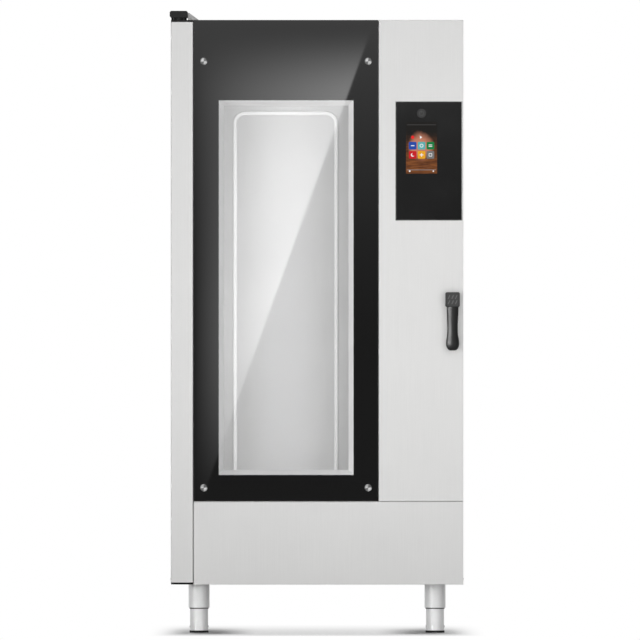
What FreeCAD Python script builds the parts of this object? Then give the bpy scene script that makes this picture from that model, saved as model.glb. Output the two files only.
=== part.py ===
import FreeCAD, Part
import math
import os

# A tall roll-in convection oven with one full-height door, built piece by piece in millimetres.
# The origin is on the floor at the middle of the whole oven, +Z is up and the door faces -Y.

Vector = FreeCAD.Vector
X_AXIS = Vector(1, 0, 0)
Y_AXIS = Vector(0, 1, 0)
Z_AXIS = Vector(0, 0, 1)

# Cabinet
CABINET_WIDTH = 890.0
CABINET_HEIGHT = 1718.0
CABINET_DEPTH = 820.0
LEG_HEIGHT = 150.0
SHEET = 1.2
FRONT_SHEET = 2.0
PANEL_FLANGE = 15.0
STUB_REACH = 40.0
STUB_COLLAR = 3.0
STUB_COLLAR_LAP = 7.0
BASE_TUBE = 40.0
BASE_WALL = 3.0
POST_SIDE = 30.0
POST_INSET = 110.0

# Clearances
FIT = 0.05
EASE = 0.3
SEAM = 1.5
HOLE_EASE = 1.0

# Share of a slot's width that rounds its ends
SLOT_ROUND = 0.49

# Door leaf
DOOR_THICKNESS = 75.0
DOOR_GAP = 10.0
COLUMN_WIDTH = 68.0
COLUMN_WALL = 2.5
COLUMN_EDGE = 3.0
COLUMN_BACK_RADIUS = 12.0
PANEL_WIDTH = 257.0
GLASS_THICKNESS = 6.0
BORDER_THICKNESS = 0.6
LOWER_PANEL_HEIGHT = 252.0
FRAME_SETBACK = 12.0
FRAME_WALL = 2.0
FRAME_RAIL = 40.0
RIGHT_STILE = 60.0
SKIN = 1.5
RIGHT_SLAB = 20.0
CLADDING_EDGE = 1.2

# Window
WINDOW_LEFT_MARGIN = 76.5
WINDOW_RIGHT_MARGIN = 75.5
WINDOW_BOTTOM_MARGIN = 80.0
WINDOW_TOP_MARGIN = 244.5
REVEAL_STRIP = 15.0
REVEAL_SHEET = 1.2
REVEAL_FLANGE = 14.0
PANE_THICKNESS = 4.0
PANE_LAP = 14.0
SKIN_LAP = 4.0
SEAL_THICKNESS = 2.0
SEAL_WIDTH = 8.0

# Glass bolts
BOLT_SIDE_INSET = 31.0
BOLT_TOP_INSET = 126.0
BOLT_BOTTOM_INSET = 41.0
BOLT_HEAD_RADIUS = 11.0
BOLT_HEAD_HEIGHT = 7.0
BOLT_DISH = 2.0
BOLT_RIM = 2.5
BOLT_RADIUS = 4.0
BOLT_REACH = 10.0
SPACER_RADIUS = 12.0

# Hinge
HINGE_INSET = 24.0
HINGE_SETBACK = 30.0
HINGE_PLATE = 6.0
HINGE_FLANGE = 70.0
PIN_RADIUS = 7.0
PIN_REACH = 38.0
PLUG_LENGTH = 46.0
BLOCK_RISE = 8.0
BLOCK_HEIGHT = 20.0
BLOCK_HALF_WIDTH = 27.5
BLOCK_SEAT = 44.0
BLOCK_CHAMFER = 4.0
BLOCK_SOCKET = 14.0
COLLAR_RADIUS = 17.0
TIE_LENGTH = 32.0
TIE_SHEET = 3.0
TIE_SETBACK = 4.0

# Control panel
CONTROL_WIDTH = 200.0
CONTROL_HEIGHT = 360.0
CONTROL_RIGHT_MARGIN = 5.0
CONTROL_TOP_DROP = 249.0
CONTROL_GLASS = 5.0
BEZEL_WIDTH = 2.4
BEZEL_PROUD = 1.0
BEZEL_LIP = 2.0
SCREEN_WIDTH = 94.0
SCREEN_HEIGHT = 156.0
SCREEN_LEFT_INSET = 31.0
SCREEN_TOP_INSET = 62.0
SCREEN_RECESS = 0.2
SCREEN_BACK_LAP = 8.0
SCREEN_BODY = 8.0
HOUSING_DEPTH = 32.0
HOUSING_WALL = 2.0
BOARD_THICKNESS = 1.6
BOARD_MARGIN = 6.0
BOARD_RISE = 5.0
BOARD_LEG_RADIUS = 3.0

# Round button over the screen
BUTTON_RADIUS = 14.0
BUTTON_ABOVE_SCREEN = 27.0
BUTTON_FLANGE = 2.0
BUTTON_FLANGE_HEIGHT = 1.5
BUTTON_STEM_RADIUS = 4.0
BUTTON_STEM = 8.0
BUTTON_TRAVEL = 2.0
SWITCH_SIDE = 14.0

# Lever handle and latch
HANDLE_INSET = 33.0
HANDLE_AXIS_HEIGHT = 1017.0
HANDLE_REACH = 58.0
ROSE_RADIUS = 20.0
ROSE_HEIGHT = 8.0
ROSE_CHAMFER = 1.6
HEAD_WIDTH = 44.0
HEAD_HEIGHT = 45.0
HEAD_EDGE = 5.0
HEAD_FACE_EDGE = 2.5
GRIP_MARKS = 3
GRIP_MARK_WIDTH = 3.0
GRIP_MARK_LENGTH = 13.0
GRIP_MARK_HEIGHT = 0.8
GRIP_MARK_PITCH = 11.0
GRIP_MARK_RISE = 8.0
GRIP_MARK_SLANT = 24.0
GRIP_LENGTH = 132.0
GRIP_DEPTH_SHARE = 0.74
GRIP_TOP_WIDTH = 36.0
GRIP_WAIST_WIDTH = 32.0
GRIP_BULB_WIDTH = 40.0
SPINDLE_RADIUS = 7.0
SPINDLE_IN_HEAD = 24.0
TONGUE_LENGTH = 46.0
TONGUE_WIDTH = 20.0
TONGUE_THICKNESS = 6.0
TONGUE_HUB_RADIUS = 14.0
TONGUE_ROUND = 6.0
TONGUE_SIDE_GAP = 2.0
KEEPER_SHEET = 3.0
KEEPER_LIP = 16.0
LATCH_HOLE_MARGIN = 10.0

# Cooking cavity
PLENUM_DEPTH = 120.0
CAVITY_WALL = 1.5
CAVITY_RADIUS = 15.0
SIDE_GAP = 43.0
SERVICE_WIDTH = 117.6
ROOF_GAP = 50.0
BACK_GAP = 55.3
INSULATION = 40.0
BEAD_LEFT_MARGIN = 98.0
BEAD_RIGHT_MARGIN = 99.0
BEAD_TOP_MARGIN = 172.0
BEAD_BOTTOM_MARGIN = 95.0
BEAD_WIDTH = 13.0
BEAD_HEIGHT = 5.0
BEAD_CREST = 4.5
BEAD_RADIUS = 38.0
GASKET_OFFSET = 2.0
GASKET_WIDTH = 12.0
GASKET_ROUND = 3.0
RAIL_SPREAD = 300.0
RAIL_HEIGHT = 22.0
RAIL_WIDTH = 30.0
RAIL_SHEET = 2.0
RAIL_END_GAP = 30.0

# Fans, baffle and heating
FAN_COUNT = 3
FAN_RADIUS = 175.0
FAN_WIDTH = 62.0
FAN_BAFFLE_GAP = 22.0
FAN_BLADES = 20
FAN_BLADE_SHEET = 2.0
FAN_BLADE_INNER = 95.0
FAN_RIM = 22.0
HUB_RADIUS = 22.0
HUB_LENGTH = 36.0
SHAFT_RADIUS = 9.0
SHAFT_IN_MOTOR = 30.0
SHAFT_HOLE_RADIUS = 16.0
NUT_RADIUS = 14.0
NUT_LENGTH = 10.0
BAFFLE_SHEET = 1.5
BAFFLE_FLANGE = 14.0
BAFFLE_EDGE_GAP = 20.0
BAFFLE_END_GAP = 12.0
GRILLE_RADIUS = 140.0
GRILLE_CORE = 30.0
GRILLE_PITCH = 16.0
GRILLE_SLOT = 8.0
GRILLE_SPOKES = 4
GRILLE_SPOKE_DEGREES = 10.0
OUTLET_COUNT = 9
OUTLET_WIDTH = 14.0
OUTLET_LENGTH = 110.0
OUTLET_EDGE = 24.0
BAFFLE_POST_RADIUS = 6.0
BAFFLE_POST_INSET = 70.0
MOTOR_RADIUS = 68.0
MOTOR_LENGTH = 98.0
MOTOR_RIBS = 18
MOTOR_RIB = 5.0
MOUNT_SIDE = 180.0
MOUNT_SHEET = 3.0
MOUNT_LEG_RADIUS = 6.0
MOUNT_LEG_SPREAD = 140.0
HEATER_RADII = (202.0, 222.0)
HEATER_PLANES = (20.0, 46.0)
HEATER_TUBE_RADIUS = 4.25
HEATER_BEND = 15.0
HEATER_GAP_DEGREES = 10.0
HEATER_TAIL = 14.0
HEATER_FLANGE_MARGIN = 14.0
HEATER_FLANGE_SHEET = 3.0

# Lamps, water, drain, exhaust and wiring
LAMP_RADIUS = 30.0
LAMP_END_INSET = 460.0
LAMP_FROM_FRONT = 120.0
LENS_LAP = 5.0
LENS_THICKNESS = 6.0
EXHAUST_RADIUS = 30.0
EXHAUST_WALL = 1.5
EXHAUST_DROP = 75.0
DRAIN_RADIUS = 16.0
DRAIN_WALL = 1.5
STRAINER_RADIUS = 45.0
STRAINER_HEIGHT = 4.0
STRAINER_SLOTS = 12
STRAINER_SLOT = 4.0
STRAINER_SLOT_LENGTH = 21.0
STRAINER_RIM = 9.0
WATER_PIPE_RADIUS = 5.0
WATER_BRANCH_RADIUS = 4.0
WATER_OFFSET = 112.0
WATER_HEIGHT = 300.0
WATER_END_GAP = 14.0
INLET_RADIUS = 13.2
INLET_REACH = 22.0
VALVE_SIDE = 50.0
VALVE_ROUND = 6.0
SERVICE_RIGHT_MARGIN = 65.0
GLAND_RADIUS = 18.0
GLAND_NECK = 9.0
GLAND_BORE = 6.0
GLAND_TIP = 13.0
GLAND_NUT = 9.0
GLAND_REACH = 26.0
GLAND_HEIGHT = 230.0
TRAY_LENGTH = 190.0
TRAY_GAP = 15.0
TRAY_HEIGHT = 190.0
TRAY_FOOT = 26.0
CONTACTOR_COUNT = 3
CONTACTOR_WIDTH = 45.0
CONTACTOR_HEIGHT = 84.0
CONTACTOR_DEPTH = 62.0
CONTACTOR_STEP = 20.0
TERMINAL_COUNT = 5
TERMINAL_WIDTH = 16.0
TERMINAL_HEIGHT = 40.0
TERMINAL_DEPTH = 36.0
TERMINAL_RISE = 20.0
TERMINAL_ENTRY = 14.0
TERMINAL_WALL = 3.0
LOUVRE_COUNT = 9
LOUVRE_WIDTH = 90.0
LOUVRE_SLOT = 6.0
LOUVRE_PITCH = 18.0
LOUVRE_END_INSET = 180.0

# Feet
FRONT_FOOT_INSET = 84.5
BACK_FOOT_INSET = 78.5
FOOT_INSET_Y = 80.0
SLEEVE_RADIUS = 32.0
SLEEVE_WALL = 3.0
SLEEVE_LENGTH = 74.0
SLEEVE_HEAD = 5.0
FOOT_LEG_RADIUS = 27.5
FOOT_COLLAR = 12.0
FOOT_ROD_RADIUS = 8.0
FOOT_ROD_LENGTH = 58.0
PAD_RADIUS = 29.0
PAD_HEIGHT = 7.0
PAD_ROUND = 1.5

# Places that follow from the sizes above
LEFT = -CABINET_WIDTH / 2
RIGHT = CABINET_WIDTH / 2
BOTTOM = LEG_HEIGHT
TOP = LEG_HEIGHT + CABINET_HEIGHT
TOTAL_DEPTH = HANDLE_REACH + DOOR_THICKNESS + DOOR_GAP + CABINET_DEPTH + STUB_REACH
DOOR_FRONT = HANDLE_REACH - TOTAL_DEPTH / 2
DOOR_BACK = DOOR_FRONT + DOOR_THICKNESS
CABINET_FRONT = DOOR_BACK + DOOR_GAP
CABINET_BACK = CABINET_FRONT + CABINET_DEPTH
INSIDE_LEFT = LEFT + SHEET
INSIDE_RIGHT = RIGHT - SHEET
INSIDE_FRONT = CABINET_FRONT + FRONT_SHEET
INSIDE_BACK = CABINET_BACK - SHEET
INSIDE_BOTTOM = BOTTOM + SHEET
INSIDE_TOP = TOP - SHEET
BASE_TOP = INSIDE_BOTTOM + BASE_TUBE

COLUMN_RIGHT = LEFT + COLUMN_WIDTH
COLUMN_BOTTOM = BOTTOM + HINGE_PLATE + EASE
COLUMN_TOP = TOP - HINGE_PLATE - EASE
HINGE_X = LEFT + HINGE_INSET
HINGE_Y = DOOR_FRONT + HINGE_SETBACK
LEAF_LEFT = COLUMN_RIGHT + SEAM
PANEL_LEFT = RIGHT - PANEL_WIDTH
GLASS_RIGHT = PANEL_LEFT - SEAM
LOWER_PANEL_TOP = BOTTOM + LOWER_PANEL_HEIGHT
GLASS_BOTTOM = LOWER_PANEL_TOP + SEAM
GLASS_BACK = DOOR_FRONT + GLASS_THICKNESS
BORDER_BACK = GLASS_BACK + BORDER_THICKNESS
FRAME_FRONT = DOOR_FRONT + FRAME_SETBACK
FRAME_BACK = DOOR_BACK - SKIN
WINDOW_LEFT = LEAF_LEFT + WINDOW_LEFT_MARGIN
WINDOW_RIGHT = GLASS_RIGHT - WINDOW_RIGHT_MARGIN
WINDOW_BOTTOM = GLASS_BOTTOM + WINDOW_BOTTOM_MARGIN
WINDOW_TOP = TOP - WINDOW_TOP_MARGIN
WINDOW_X = (WINDOW_LEFT, WINDOW_RIGHT)
WINDOW_Z = (WINDOW_BOTTOM, WINDOW_TOP)
PANE_BACK = FRAME_BACK - SEAL_THICKNESS
PANE_FRONT = PANE_BACK - PANE_THICKNESS
FRAME_EDGE = SHEET + EASE
LEFT_STILE_RIGHT = WINDOW_LEFT - REVEAL_FLANGE
INNER_STILE_LEFT = WINDOW_RIGHT + REVEAL_FLANGE
INNER_STILE_RIGHT = PANEL_LEFT + FRAME_SETBACK
RIGHT_STILE_LEFT = RIGHT - FRAME_EDGE - RIGHT_STILE
SILL_TOP = WINDOW_BOTTOM - REVEAL_FLANGE
SILL_BOTTOM = LOWER_PANEL_TOP - FRAME_RAIL / 2
HEAD_RAIL_BOTTOM = WINDOW_TOP + REVEAL_FLANGE
HEAD_RAIL_TOP = HEAD_RAIL_BOTTOM + FRAME_RAIL
TOP_RAIL_BOTTOM = TOP - FRAME_EDGE - FRAME_RAIL
BOTTOM_RAIL_TOP = BOTTOM + FRAME_EDGE + FRAME_RAIL

CONTROL_RIGHT = RIGHT - CONTROL_RIGHT_MARGIN
CONTROL_LEFT = CONTROL_RIGHT - CONTROL_WIDTH
CONTROL_TOP = TOP - CONTROL_TOP_DROP
CONTROL_BOTTOM = CONTROL_TOP - CONTROL_HEIGHT
CONTROL_X = (CONTROL_LEFT, CONTROL_RIGHT)
CONTROL_Z = (CONTROL_BOTTOM, CONTROL_TOP)
CONTROL_BACK = DOOR_FRONT + CONTROL_GLASS
SCREEN_X = (CONTROL_LEFT + SCREEN_LEFT_INSET, CONTROL_LEFT + SCREEN_LEFT_INSET + SCREEN_WIDTH)
SCREEN_Z = (CONTROL_TOP - SCREEN_TOP_INSET - SCREEN_HEIGHT, CONTROL_TOP - SCREEN_TOP_INSET)
BUTTON_X = (SCREEN_X[0] + SCREEN_X[1]) / 2
BUTTON_Z = SCREEN_Z[1] + BUTTON_ABOVE_SCREEN
HOUSING_X = (CONTROL_LEFT + HOUSING_WALL, RIGHT_STILE_LEFT - HOUSING_WALL)
HOUSING_Z = (CONTROL_BOTTOM + HOUSING_WALL, CONTROL_TOP - HOUSING_WALL)
HOUSING_BACK = CONTROL_BACK + HOUSING_DEPTH
BOARD_BACK = HOUSING_BACK - HOUSING_WALL - BOARD_RISE
BOARD_FRONT = BOARD_BACK - BOARD_THICKNESS

HANDLE_X = RIGHT - HANDLE_INSET
HANDLE_Z = HANDLE_AXIS_HEIGHT
HEAD_BACK = DOOR_FRONT - ROSE_HEIGHT - EASE
HEAD_FRONT = DOOR_FRONT - HANDLE_REACH + GRIP_MARK_HEIGHT
HEAD_BOTTOM = HANDLE_Z - HEAD_HEIGHT / 2
KEEPER_FRONT = INSIDE_FRONT + SHEET
TONGUE_FRONT = KEEPER_FRONT + KEEPER_SHEET + HOLE_EASE
TONGUE_BACK = TONGUE_FRONT + TONGUE_THICKNESS

CAVITY_LEFT = INSIDE_LEFT + SIDE_GAP + INSULATION + CAVITY_WALL
SLAB_RIGHT = INSIDE_RIGHT - SERVICE_WIDTH
WALL_RIGHT = SLAB_RIGHT - INSULATION
CAVITY_RIGHT = WALL_RIGHT - CAVITY_WALL
TRAY_RIGHT = CAVITY_RIGHT - PLENUM_DEPTH
CAVITY_BOTTOM = BASE_TOP + INSULATION + CAVITY_WALL
CAVITY_TOP = INSIDE_TOP - ROOF_GAP - INSULATION - CAVITY_WALL
SLAB_BACK = INSIDE_BACK - BACK_GAP
WALL_BACK = SLAB_BACK - INSULATION
CAVITY_BACK = WALL_BACK - CAVITY_WALL
TRAY_MIDDLE = (CAVITY_LEFT + TRAY_RIGHT) / 2
FAN_Y = (INSIDE_FRONT + CAVITY_BACK) / 2
FAN_PITCH = (CAVITY_TOP - CAVITY_BOTTOM) / FAN_COUNT
FAN_ZS = [CAVITY_BOTTOM + FAN_PITCH * (i + 0.5) for i in range(FAN_COUNT)]
FAN_FRONT = TRAY_RIGHT + BAFFLE_SHEET + FAN_BAFFLE_GAP
FAN_BACK = FAN_FRONT + FAN_WIDTH
MOTOR_FACE = SLAB_RIGHT + MOUNT_SHEET
FRONT_FOOT_XS = (LEFT + FRONT_FOOT_INSET, RIGHT - FRONT_FOOT_INSET)
BACK_FOOT_XS = (LEFT + BACK_FOOT_INSET, RIGHT - BACK_FOOT_INSET)
BAR_XS = [(front + back) / 2 for front, back in zip(FRONT_FOOT_XS, BACK_FOOT_XS)]
FOOT_YS = (CABINET_FRONT + FOOT_INSET_Y, CABINET_BACK - FOOT_INSET_Y)
CROSS_YS = (FOOT_YS[0], CAVITY_BACK - FOOT_INSET_Y, FOOT_YS[1])
POST_XS = (CAVITY_LEFT + POST_INSET, CAVITY_RIGHT - POST_INSET)
SERVICE_X = RIGHT - SERVICE_RIGHT_MARGIN
EXHAUST_Z = CAVITY_TOP - EXHAUST_DROP
DRAIN_Z = INSIDE_BOTTOM + BASE_TUBE / 2
WATER_Y = FAN_Y - WATER_OFFSET
LAMP_Y = INSIDE_FRONT + LAMP_FROM_FRONT
LAMP_ZS = (CAVITY_BOTTOM + LAMP_END_INSET, CAVITY_TOP - LAMP_END_INSET)


def block(xs, ys, zs):
    """A box between two values along each axis."""
    size = (xs[1] - xs[0], ys[1] - ys[0], zs[1] - zs[0])
    return Part.makeBox(*size, Vector(xs[0], ys[0], zs[0]))


def around(span, margin):
    """A span widened by a margin at both ends."""
    return (span[0] - margin, span[1] + margin)


def centred(middle, width):
    """A span of a given width about a middle."""
    return (middle - width / 2, middle + width / 2)


def rod(start, axis, radius, length):
    """A round bar from a start point along an axis."""
    return Part.makeCylinder(radius, length, Vector(*start), axis)


def ring(start, axis, outer, inner, length):
    """A round tube from a start point along an axis."""
    return rod(start, axis, outer, length).cut(rod(start, axis, inner, length))


def straight_edges(shape, axis):
    """The straight edges of a shape that run along an axis."""
    lines = [edge for edge in shape.Edges if isinstance(edge.Curve, Part.Line)]
    return [edge for edge in lines if abs(edge.Curve.Direction.dot(axis)) > 0.999]


def front_edges(shape, y):
    """The edges of a shape that lie at its front, at depth y."""
    return [edge for edge in shape.Edges if edge.BoundBox.YMax < y + EASE]


def rounded(xs, ys, zs, axis, radius):
    """A box whose four edges along one axis are rounded."""
    shape = block(xs, ys, zs)
    return shape.makeFillet(radius, straight_edges(shape, axis))


def fused(shapes):
    """One solid from shapes that touch or cross."""
    shapes = list(shapes)
    return shapes[0].multiFuse(shapes[1:]).removeSplitter()


def turned(shape, centre, axis, degrees):
    """A copy of a shape turned about an axis through a centre."""
    copy = shape.copy()
    copy.rotate(Vector(*centre), axis, degrees)
    return copy


def prism(points, sweep):
    """A solid swept from a closed outline of straight lines."""
    corners = [Vector(*point) for point in points]
    return Part.Face(Part.makePolygon(corners + corners[:1])).extrude(sweep)


def base_frame():
    """Welded channels under the cavity, with posts that carry it through the insulation."""
    ends = (INSIDE_FRONT + EASE, INSIDE_BACK - EASE)
    heights = (INSIDE_BOTTOM, BASE_TOP)
    bars = [(centred(x, BASE_TUBE), ends) for x in BAR_XS]
    bars += [(tuple(BAR_XS), centred(y, BASE_TUBE)) for y in CROSS_YS]
    hollow = (INSIDE_BOTTOM, BASE_TOP - BASE_WALL)
    outer = fused(block(xs, ys, heights) for xs, ys in bars)
    inner = fused(block(around(xs, -BASE_WALL), around(ys, -BASE_WALL), hollow) for xs, ys in bars)
    frame = outer.cut(inner)
    post_top = CAVITY_BOTTOM - CAVITY_WALL
    posts = [block(centred(x, POST_SIDE), centred(y, POST_SIDE), (BASE_TOP, post_top))
             for x in POST_XS for y in CROSS_YS[:2]]
    frame = fused([frame] + posts)
    way = rod((TRAY_MIDDLE, FAN_Y, DRAIN_Z), Y_AXIS, DRAIN_RADIUS + HOLE_EASE, CABINET_DEPTH)
    return frame.cut(way)


def bottom_panel():
    """The closed underside that the frame stands on."""
    return block((LEFT, RIGHT), (CABINET_FRONT, CABINET_BACK), (BOTTOM, INSIDE_BOTTOM))


def top_panel():
    """The lid sheet, with a rim that drops inside the walls."""
    lid = block((LEFT, RIGHT), (CABINET_FRONT, CABINET_BACK), (INSIDE_TOP, TOP))
    gap = SHEET + EASE
    xs = (INSIDE_LEFT + gap, INSIDE_RIGHT - gap)
    ys = (INSIDE_FRONT + gap, INSIDE_BACK - gap)
    drop = (INSIDE_TOP - PANEL_FLANGE, INSIDE_TOP)
    rim = block(xs, ys, drop).cut(block(around(xs, -SHEET), around(ys, -SHEET), drop))
    return fused([lid, rim])


def slots(centre, across, through, depth):
    """A column of louvre slots with round ends: across is their long axis, through the cut's axis."""
    cutters = []
    for i in range(LOUVRE_COUNT):
        middle = Vector(*centre) + Z_AXIS * ((i - (LOUVRE_COUNT - 1) / 2) * LOUVRE_PITCH)
        size = across * LOUVRE_WIDTH + Z_AXIS * LOUVRE_SLOT + through * depth
        bar = Part.makeBox(size.x, size.y, size.z, middle - size * 0.5)
        cutters.append(bar.makeFillet(LOUVRE_SLOT * SLOT_ROUND, straight_edges(bar, through)))
    return cutters


def side_panel(outer, inner):
    """A side wall sheet with front and back flanges turned inwards."""
    inward = 1 if inner > outer else -1
    xs = sorted((outer, outer + inward * PANEL_FLANGE))
    hollow = sorted((inner, outer + inward * PANEL_FLANGE))
    zs = (INSIDE_BOTTOM, INSIDE_TOP)
    ys = (INSIDE_FRONT, INSIDE_BACK)
    return block(xs, ys, zs).cut(block(hollow, around(ys, -SHEET), zs))


def left_side_panel():
    """The plain wall on the hinge side."""
    return side_panel(LEFT, INSIDE_LEFT)


def right_side_panel():
    """The wall beside the motors, with cooling louvres low and high."""
    panel = side_panel(RIGHT, INSIDE_RIGHT)
    for z in (BOTTOM + LOUVRE_END_INSET, TOP - LOUVRE_END_INSET):
        panel = panel.cut(slots((INSIDE_RIGHT, FAN_Y, z), Y_AXIS, X_AXIS, PANEL_FLANGE))
    return panel.cut(latch_hole((INSIDE_FRONT, INSIDE_FRONT + SHEET)))


def back_panel():
    """The rear sheet with louvres and the holes for the service stubs."""
    panel = block((LEFT, RIGHT), (INSIDE_BACK, CABINET_BACK), (INSIDE_BOTTOM, INSIDE_TOP))
    for z in (FAN_ZS[0], FAN_ZS[-1]):
        panel = panel.cut(slots((SERVICE_X, CABINET_BACK, z), X_AXIS, Y_AXIS, PANEL_FLANGE))
    holes = [(TRAY_MIDDLE, EXHAUST_Z, EXHAUST_RADIUS), (TRAY_MIDDLE, DRAIN_Z, DRAIN_RADIUS),
             (SERVICE_X, WATER_HEIGHT, INLET_RADIUS), (SERVICE_X, GLAND_HEIGHT, GLAND_NECK)]
    return panel.cut([rod((x, INSIDE_BACK, z), Y_AXIS, radius + EASE, SHEET) for x, z, radius in holes])


def latch_hole(ys):
    """The way into the cabinet that the latch tongue needs in all its positions, between two depths."""
    reach = TONGUE_LENGTH + LATCH_HOLE_MARGIN
    xs = (HANDLE_X - reach, HANDLE_X + TONGUE_HUB_RADIUS + LATCH_HOLE_MARGIN / 2)
    zs = (HANDLE_Z - reach, HANDLE_Z + TONGUE_HUB_RADIUS + LATCH_HOLE_MARGIN)
    return rounded(xs, ys, zs, Y_AXIS, LATCH_HOLE_MARGIN / 2)


def front_frame():
    """The face plate around the mouth of the cavity."""
    ys = (CABINET_FRONT, INSIDE_FRONT)
    plate = block((LEFT, RIGHT), ys, (INSIDE_BOTTOM, INSIDE_TOP))
    mouth = rounded((CAVITY_LEFT, TRAY_RIGHT), ys, (CAVITY_BOTTOM, CAVITY_TOP), Y_AXIS, CAVITY_RADIUS)
    return plate.cut([mouth, latch_hole(ys)])


def door_gasket():
    """The soft ring around the mouth that the shut door presses on."""
    ys = (DOOR_BACK + EASE, CABINET_FRONT)
    mouth = ((CAVITY_LEFT, TRAY_RIGHT), (CAVITY_BOTTOM, CAVITY_TOP))
    outer = [around(span, GASKET_OFFSET + GASKET_WIDTH) for span in mouth]
    inner = [around(span, GASKET_OFFSET) for span in mouth]
    big = rounded(outer[0], ys, outer[1], Y_AXIS, CAVITY_RADIUS + GASKET_OFFSET + GASKET_WIDTH)
    small = rounded(inner[0], ys, inner[1], Y_AXIS, CAVITY_RADIUS + GASKET_OFFSET)
    hoop = big.cut(small)
    return hoop.makeFillet(GASKET_ROUND, front_edges(hoop, ys[0]))


def cavity_outline(margin, ys):
    """The rounded inside of the cavity, widened by a margin."""
    xs = around((CAVITY_LEFT, CAVITY_RIGHT), margin)
    zs = around((CAVITY_BOTTOM, CAVITY_TOP), margin)
    return rounded(xs, ys, zs, Y_AXIS, CAVITY_RADIUS + margin)


def heater_leg_places():
    """Where the heater tails pass the right wall, as Y and Z about each fan."""
    angle = math.radians(HEATER_GAP_DEGREES)
    places = []
    for radius in HEATER_RADII:
        y = radius * math.cos(angle) + HEATER_BEND * math.sin(angle)
        z = radius * math.sin(angle) - HEATER_BEND * math.cos(angle)
        places += [(y, z), (y, -z)]
    return places


def right_wall_holes(start, length, ease):
    """Cutters along X for everything that passes the right wall of the cavity."""
    cutters = []
    for z in FAN_ZS:
        cutters.append(rod((start, FAN_Y, z), X_AXIS, SHAFT_HOLE_RADIUS, length))
        cutters.append(rod((start, WATER_Y, z), X_AXIS, WATER_BRANCH_RADIUS + ease, length))
        for leg_y, leg_z in heater_leg_places():
            place = (start, FAN_Y + leg_y, z + leg_z)
            cutters.append(rod(place, X_AXIS, HEATER_TUBE_RADIUS + ease, length))
    return cutters


def cavity_shell():
    """The wrapped tube of the cavity with its rounded corners."""
    ys = (INSIDE_FRONT, CAVITY_BACK)
    tube = cavity_outline(CAVITY_WALL, ys).cut(cavity_outline(0, ys))
    cutters = right_wall_holes(CAVITY_RIGHT, CAVITY_WALL, EASE)
    floor = CAVITY_BOTTOM - CAVITY_WALL
    cutters.append(rod((TRAY_MIDDLE, FAN_Y, floor), Z_AXIS, DRAIN_RADIUS - DRAIN_WALL, CAVITY_WALL))
    wall = CAVITY_LEFT - CAVITY_WALL
    cutters += [rod((wall, LAMP_Y, z), X_AXIS, LAMP_RADIUS + EASE, CAVITY_WALL) for z in LAMP_ZS]
    return tube.cut(cutters)


def cavity_back_wall():
    """The rear wall of the cavity with its pressed bead and the exhaust hole."""
    wall = cavity_outline(CAVITY_WALL, (CAVITY_BACK, WALL_BACK))
    xs = (CAVITY_LEFT + BEAD_LEFT_MARGIN, TRAY_RIGHT - BEAD_RIGHT_MARGIN)
    zs = (CAVITY_BOTTOM + BEAD_BOTTOM_MARGIN, CAVITY_TOP - BEAD_TOP_MARGIN)
    ys = (CAVITY_BACK - BEAD_HEIGHT, CAVITY_BACK)
    big = rounded(xs, ys, zs, Y_AXIS, BEAD_RADIUS)
    inside = (around(xs, -BEAD_WIDTH), ys, around(zs, -BEAD_WIDTH))
    bead = big.cut(rounded(*inside, Y_AXIS, BEAD_RADIUS - BEAD_WIDTH))
    bead = bead.makeFillet(BEAD_CREST, front_edges(bead, ys[0]))
    hole = rod((TRAY_MIDDLE, CAVITY_BACK, EXHAUST_Z), Y_AXIS, EXHAUST_RADIUS - EXHAUST_WALL, CAVITY_WALL)
    return fused([wall, bead]).cut(hole)


def insulation():
    """Mineral wool slabs against the left, right, top, bottom and back of the cavity."""
    xs = around((CAVITY_LEFT, CAVITY_RIGHT), CAVITY_WALL)
    zs = around((CAVITY_BOTTOM, CAVITY_TOP), CAVITY_WALL)
    ys = (INSIDE_FRONT, WALL_BACK)
    wide = around(xs, INSULATION)
    left = block((wide[0], xs[0]), ys, zs)
    left = left.cut([rod((wide[0], LAMP_Y, z), X_AXIS, LAMP_RADIUS + EASE, INSULATION) for z in LAMP_ZS])
    right = block((xs[1], wide[1]), ys, zs)
    right = right.cut(right_wall_holes(xs[1], INSULATION, HOLE_EASE) + mount_legs(xs[1], EASE))
    top = block(wide, ys, (zs[1], zs[1] + INSULATION))
    bottom = block(wide, ys, (BASE_TOP, zs[0]))
    posts = [block(centred(x, POST_SIDE + EASE), centred(y, POST_SIDE + EASE), (BASE_TOP, zs[0]))
             for x in POST_XS for y in CROSS_YS[:2]]
    drop = rod((TRAY_MIDDLE, FAN_Y, BASE_TOP), Z_AXIS, DRAIN_RADIUS + EASE, INSULATION)
    bottom = bottom.cut(posts + [drop])
    back = block(wide, (WALL_BACK, SLAB_BACK), (BASE_TOP, zs[1] + INSULATION))
    flue = rod((TRAY_MIDDLE, WALL_BACK, EXHAUST_Z), Y_AXIS, EXHAUST_RADIUS + EASE, INSULATION)
    return [left, right, top, bottom, back.cut(flue)]


def grille_slots(z):
    """Arc slots in rings about one fan axis."""
    cutters = []
    start = (TRAY_RIGHT, FAN_Y, z)
    sweep = 360 / GRILLE_SPOKES - GRILLE_SPOKE_DEGREES
    radius = GRILLE_CORE
    while radius + GRILLE_SLOT <= GRILLE_RADIUS:
        outer = Part.makeCylinder(radius + GRILLE_SLOT, BAFFLE_SHEET, Vector(*start), X_AXIS, sweep)
        arc = outer.cut(rod(start, X_AXIS, radius, BAFFLE_SHEET))
        cutters += [turned(arc, start, X_AXIS, i * 360 / GRILLE_SPOKES) for i in range(GRILLE_SPOKES)]
        radius += GRILLE_PITCH
    return cutters


def baffle_spans():
    """The Y and Z spans of the air baffle."""
    ys = around((INSIDE_FRONT, CAVITY_BACK), -BAFFLE_EDGE_GAP)
    return ys, around((CAVITY_BOTTOM, CAVITY_TOP), -BAFFLE_END_GAP)


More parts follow.
